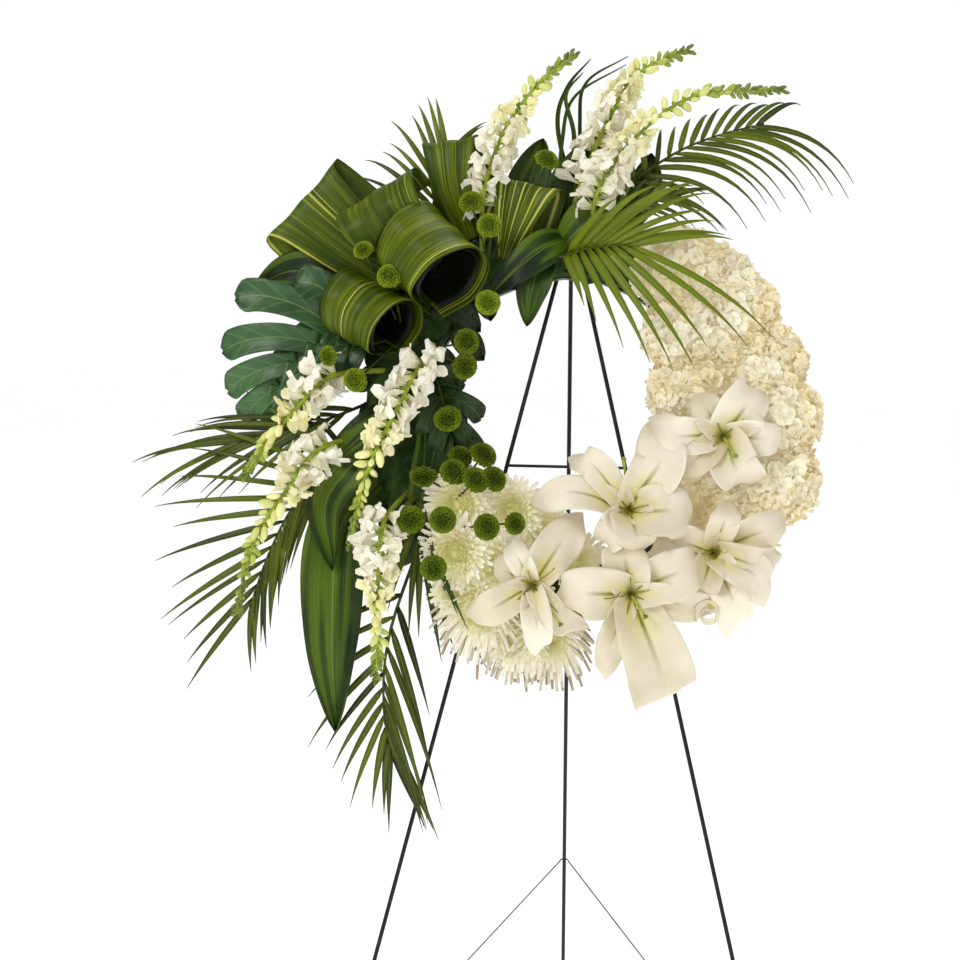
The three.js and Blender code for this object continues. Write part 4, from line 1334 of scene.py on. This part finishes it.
# Points of the midrib, then the leaflets on its left and right side: how long the first and the last
# ones are, and how far they splay from the midrib. Then how far the tip of one of LEAFLET_LENGTH hangs, the
# widest that a leaflet gets, how many pairs there are, and how bright its green is.
PALM_FRONDS = [
    [
        (
            [(24, 262, 44), (92, 332, 78), (160, 380, 84), (225, 408, 78), (292, 426, 70)],
            (60, 110, 66, 26), (170, 190, 40, 16), 96, 8, 13, 0.2,
        ),
    ],
    [
        (
            [(36, 255, 56), (78, 298, 92), (128, 316, 100), (170, 318, 92)],
            (60, 70, 40, 16), (120, 100, 36, 14), 80, 7.5, 8, 0.3,
        ),
    ],
    [
        (
            [(-20, 226, 84), (20, 234, 128), (62, 238, 146), (108, 238, 150)],
            (250, 165, 42, 12), (190, 240, 84, 20), 26, 10.5, 9, 0.9,
        ),
    ],
    [
        (
            [(-250, 40, 30), (-350, -2, 44), (-420, -20, 44), (-500, -40, 34)],
            (225, 182, 18, 6), (225, 190, 28, 8), 20, 8, 11, 0.2,
        ),
    ],
    [
        (
            [(-240, -50, 36), (-330, -66, 50), (-395, -125, 50), (-438, -205, 46), (-468, -290, 40)],
            (190, 125, 30, 14), (285, 170, 68, 20), 8, 9, 14, 0.15,
        ),
    ],
    [
        (
            [(-205, -165, 40), (-256, -320, 50), (-264, -430, 50), (-250, -505, 40)],
            (255, 140, 36, 10), (190, 125, 52, 14), 34, 10, 11, 0.1,
        ),
        (
            [(-196, -70, 60), (-212, -130, 84), (-206, -190, 88), (-188, -240, 76)],
            (190, 170, 30, 6), (190, 150, 22, 6), 10, 10, 7, 0.2,
        ),
    ],
    [
        (
            [(-186, 190, 20), (-196, 290, 26), (-190, 350, 28), (-172, 400, 24)],
            (170, 130, 64, 30), (120, 105, 44, 14), 36, 8.5, 11, 0.4,
        ),
    ],
]
LEAFLET_LENGTH = 200
PALM_BARE = 0.2  # share of the midrib that has no leaflets


def palm_leaflet(start, out, reach, hang, dip, width, tone):
    """A leaflet folded along its middle, which arches over and hangs at its long thin tip."""
    across = out.cross(VIEWER).normalized()

    def line(far):
        fall = hang * (reach / LEAFLET_LENGTH) ** 2 * far**2.6
        back = dip * far * far - 7 * sin(pi * far)
        return start + out * (far * reach * (1 - 0.12 * far * far)) - UP * fall - VIEWER * back

    def wide(share):
        return 0.5 + width * min(1, share * 6 + 0.3) * (1 - ease(0.25, 1.05, share)) ** 0.85

    return ribbon(line, across, wide, 2, 10, lambda x, share: 0.26 * width * abs(x) * (1 - share), tone)


def palm_frond(points, left, right, hang, width, pairs, bright, rng):
    midrib = curve_through([at(*p) for p in points])
    leaflets = []
    for i in range(pairs):
        for sign, (first, last, splay, end_splay), offset in ((-1, right, 0), (1, left, 0.5)):
            done = (i + offset) / pairs
            share = lerp(PALM_BARE, 0.99, done)
            out = tangent_at(midrib, share)
            out.rotate(Quaternion(VIEWER, sign * radians(lerp(splay, end_splay, done) + rng.uniform(-4, 4))))
            reach = lerp(first, last, done) * (1 - 0.35 * (1 - ease(0, 0.2, done))) * rng.uniform(0.88, 1.08)
            dip = rng.uniform(4, 20)
            widest = width * rng.uniform(0.82, 1.05)
            tone = min(1, bright + 0.6 * rng.random())
            leaflets.append(palm_leaflet(midrib(share), out, reach, hang, dip, widest, tone))
    blades = thicken(paint(join(leaflets), PALM), LEAFLET_THICKNESS)
    rib = paint(rods([stem(midrib, 2.8, 1.2, 16)], 2), DARK_STEM)
    return [blades, rib]


for i, fronds in enumerate(PALM_FRONDS, 1):
    palm_rng = Random(PALM_SEED + i)
    blades = [one for facts in fronds for one in palm_frond(*facts, palm_rng)]
    finish_piece(blades, f"palm_{i}_frond", [f"palm_frond_{i}"])

# ---- foam, filler leaves, tray and wire ------------------------------------------------------


def foam_ring():
    """The foam as a soaked, hand-trimmed ring: a lathe of its section, broken up all over."""
    around, section = 120, 20
    mesh = flat_grid(around, section).copy()
    corners = [(-43, 4), (-43, 38), (-29, 55), (0, 60), (29, 55), (43, 38), (43, 4), (-43, 4)]
    outline = list(zip(corners, corners[1:]))
    places = []
    for row in range(section + 1):
        way = (row % section) / section * len(outline)
        (a, b), (c, d) = outline[int(way)]
        t = way - int(way)
        for column in range(around + 1):
            angle = 2 * pi * (column % around) / around
            ripple = 0.8 * sin(9 * angle + row) + 0.6 * sin(23 * angle + 2 * row)
            radius = RING_RADIUS + lerp(a, c, t) + ripple * 0.6
            front = lerp(b, d, t) + max(-0.6, ripple) * 0.6
            places.extend(at(radius * cos(angle), radius * sin(angle), front))
    mesh.vertices.foreach_set("co", places)
    ring = pick(part(mesh))
    bpy.ops.object.mode_set(mode="EDIT")
    bpy.ops.mesh.select_all(action="SELECT")
    bpy.ops.mesh.remove_doubles(threshold=0.01)
    bpy.ops.mesh.normals_make_consistent(inside=False)
    bpy.ops.object.mode_set(mode="OBJECT")
    return paint(ring, FOAM)


FILLER_COUNT = 120


def filler_leaves():
    """Small dark leaves that hide the foam on the left and over the top."""
    rng = Random(FILLER_SEED)
    blade = broad_leaf([(0, 0, 0), (0, 22, 6), (0, 46, 4), (0, 70, -6)], 38, 0.5, 4, 8)
    thicken(paint(blade, FILLER_LEAF), FILLER_THICKNESS)
    spots = []
    for i in range(FILLER_COUNT):
        angle = radians(lerp(62, 236, (i + rng.random()) / FILLER_COUNT))
        off = rng.uniform(-44, 44)
        front = 58 - abs(off) * 0.35 + rng.uniform(-6, 6)
        root = at((RING_RADIUS + off) * cos(angle), (RING_RADIUS + off) * sin(angle), front)
        spin = rng.uniform(0, 2 * pi)
        lean = rng.uniform(8, 30)
        turn = Matrix.Rotation(spin, 4, VIEWER) @ Matrix.Rotation(radians(-lean), 4, "X")
        spots.append((Matrix.Translation(root) @ turn @ Matrix.Scale(rng.uniform(0.7, 1.1), 4), rng.random()))
    made = copies(blade, spots)
    drop(blade)
    return made


finish_piece([foam_ring()], "foam_ring_soaked", ["foam_ring"])
finish_piece(filler_leaves(), "filler_leaves", [])

WIRE_AND_TRAY = [
    (BLACK_WIRE, ["hinge_pin", "rear_leg", "left_front_leg", "right_front_leg", "crossbar"]),
    (BRIGHT_WIRE, ["brace_loop", "brace_left_arm", "brace_right_arm", "hanger_staple"]),
    (TRAY, ["tray_ring"]),
]
for material, nodes in WIRE_AND_TRAY:
    for node in nodes:
        for material_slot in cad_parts[node].material_slots:
            material_slot.material = material

# ---- floor, light and camera -----------------------------------------------------------------


def floor_material():
    finish = Finish("pale_floor", specular=0.1, painted_glow=(1, 1, 1, 1), painted_glow_strength=0.6)
    cloud = finish.noise(0.8, 3)
    grain = finish.noise(260, 2)
    pale = finish.mix(cloud.between(0.3, 0.7), rgb(246, 246, 245), rgb(250, 250, 250))
    return finish.done(pale, grain * 0.1 + 0.8, finish.bump(grain, 0.0002, 0.3))


FLOOR_SIZE = 60
bpy.ops.object.select_all(action="DESELECT")
bpy.ops.mesh.primitive_plane_add(size=FLOOR_SIZE)
floor = bpy.context.object
floor.name = "floor"
paint(floor, floor_material())


def soft_light(name, place, size, power, color=(1, 1, 1)):
    bpy.ops.object.light_add(type="AREA", location=place)
    light = bpy.context.object
    light.name = name
    light.data.shape = "DISK"
    light.data.size = size
    light.data.energy = power
    light.data.color = color
    light.rotation_euler = (ring_middle - Vector(place)).to_track_quat("-Z", "Y").to_euler()


soft_light("key_light", (-2.0, -3.4, 3.4), 1.5, 68, (1, 0.98, 0.94))
soft_light("fill_light", (2.8, -2.6, 1.6), 2.6, 12)
soft_light("top_light", (0.2, 0.6, 4.2), 2.6, 40)

# The backdrop is white to the eye, and softer as a light.
BACKDROP = 1.0
AMBIENT = 0.42
world = bpy.data.worlds.new("studio")
bpy.context.scene.world = world
world.use_nodes = True
sky = world.node_tree
seen = sky.nodes.new("ShaderNodeLightPath").outputs["Is Camera Ray"]
strength = sky.nodes.new("ShaderNodeMapRange")
strength.inputs["To Min"].default_value = AMBIENT
strength.inputs["To Max"].default_value = BACKDROP
sky.links.new(seen, strength.inputs["Value"])
sky.links.new(strength.outputs[0], sky.nodes["Background"].inputs["Strength"])
sky.nodes["Background"].inputs["Color"].default_value = (1, 1, 1, 1)

LENS = 75
SENSOR_WIDTH = 36
CAMERA_DISTANCE = 3.0
CAMERA_AZIMUTH = radians(4.0)
CAMERA_RISE = radians(5.4)
CAMERA_ROLL = radians(0.93)
LOOK_AT = Vector((-0.1245, 0.024, -0.0975))  # from the ring's middle

away = Vector(
    (
        sin(CAMERA_AZIMUTH) * cos(CAMERA_RISE),
        -cos(CAMERA_AZIMUTH) * cos(CAMERA_RISE),
        sin(CAMERA_RISE),
    )
)
camera_data = bpy.data.cameras.new("camera")
camera_data.lens = LENS
camera_data.sensor_width = SENSOR_WIDTH
camera = bpy.data.objects.new("camera", camera_data)
bpy.context.scene.collection.objects.link(camera)
camera.location = ring_middle + LOOK_AT + away * CAMERA_DISTANCE
camera.rotation_mode = "QUATERNION"
camera.rotation_quaternion = (-away).to_track_quat("-Z", "Y") @ Quaternion((0, 0, 1), CAMERA_ROLL)
bpy.context.scene.camera = camera
bpy.context.scene.view_settings.view_transform = "Standard"
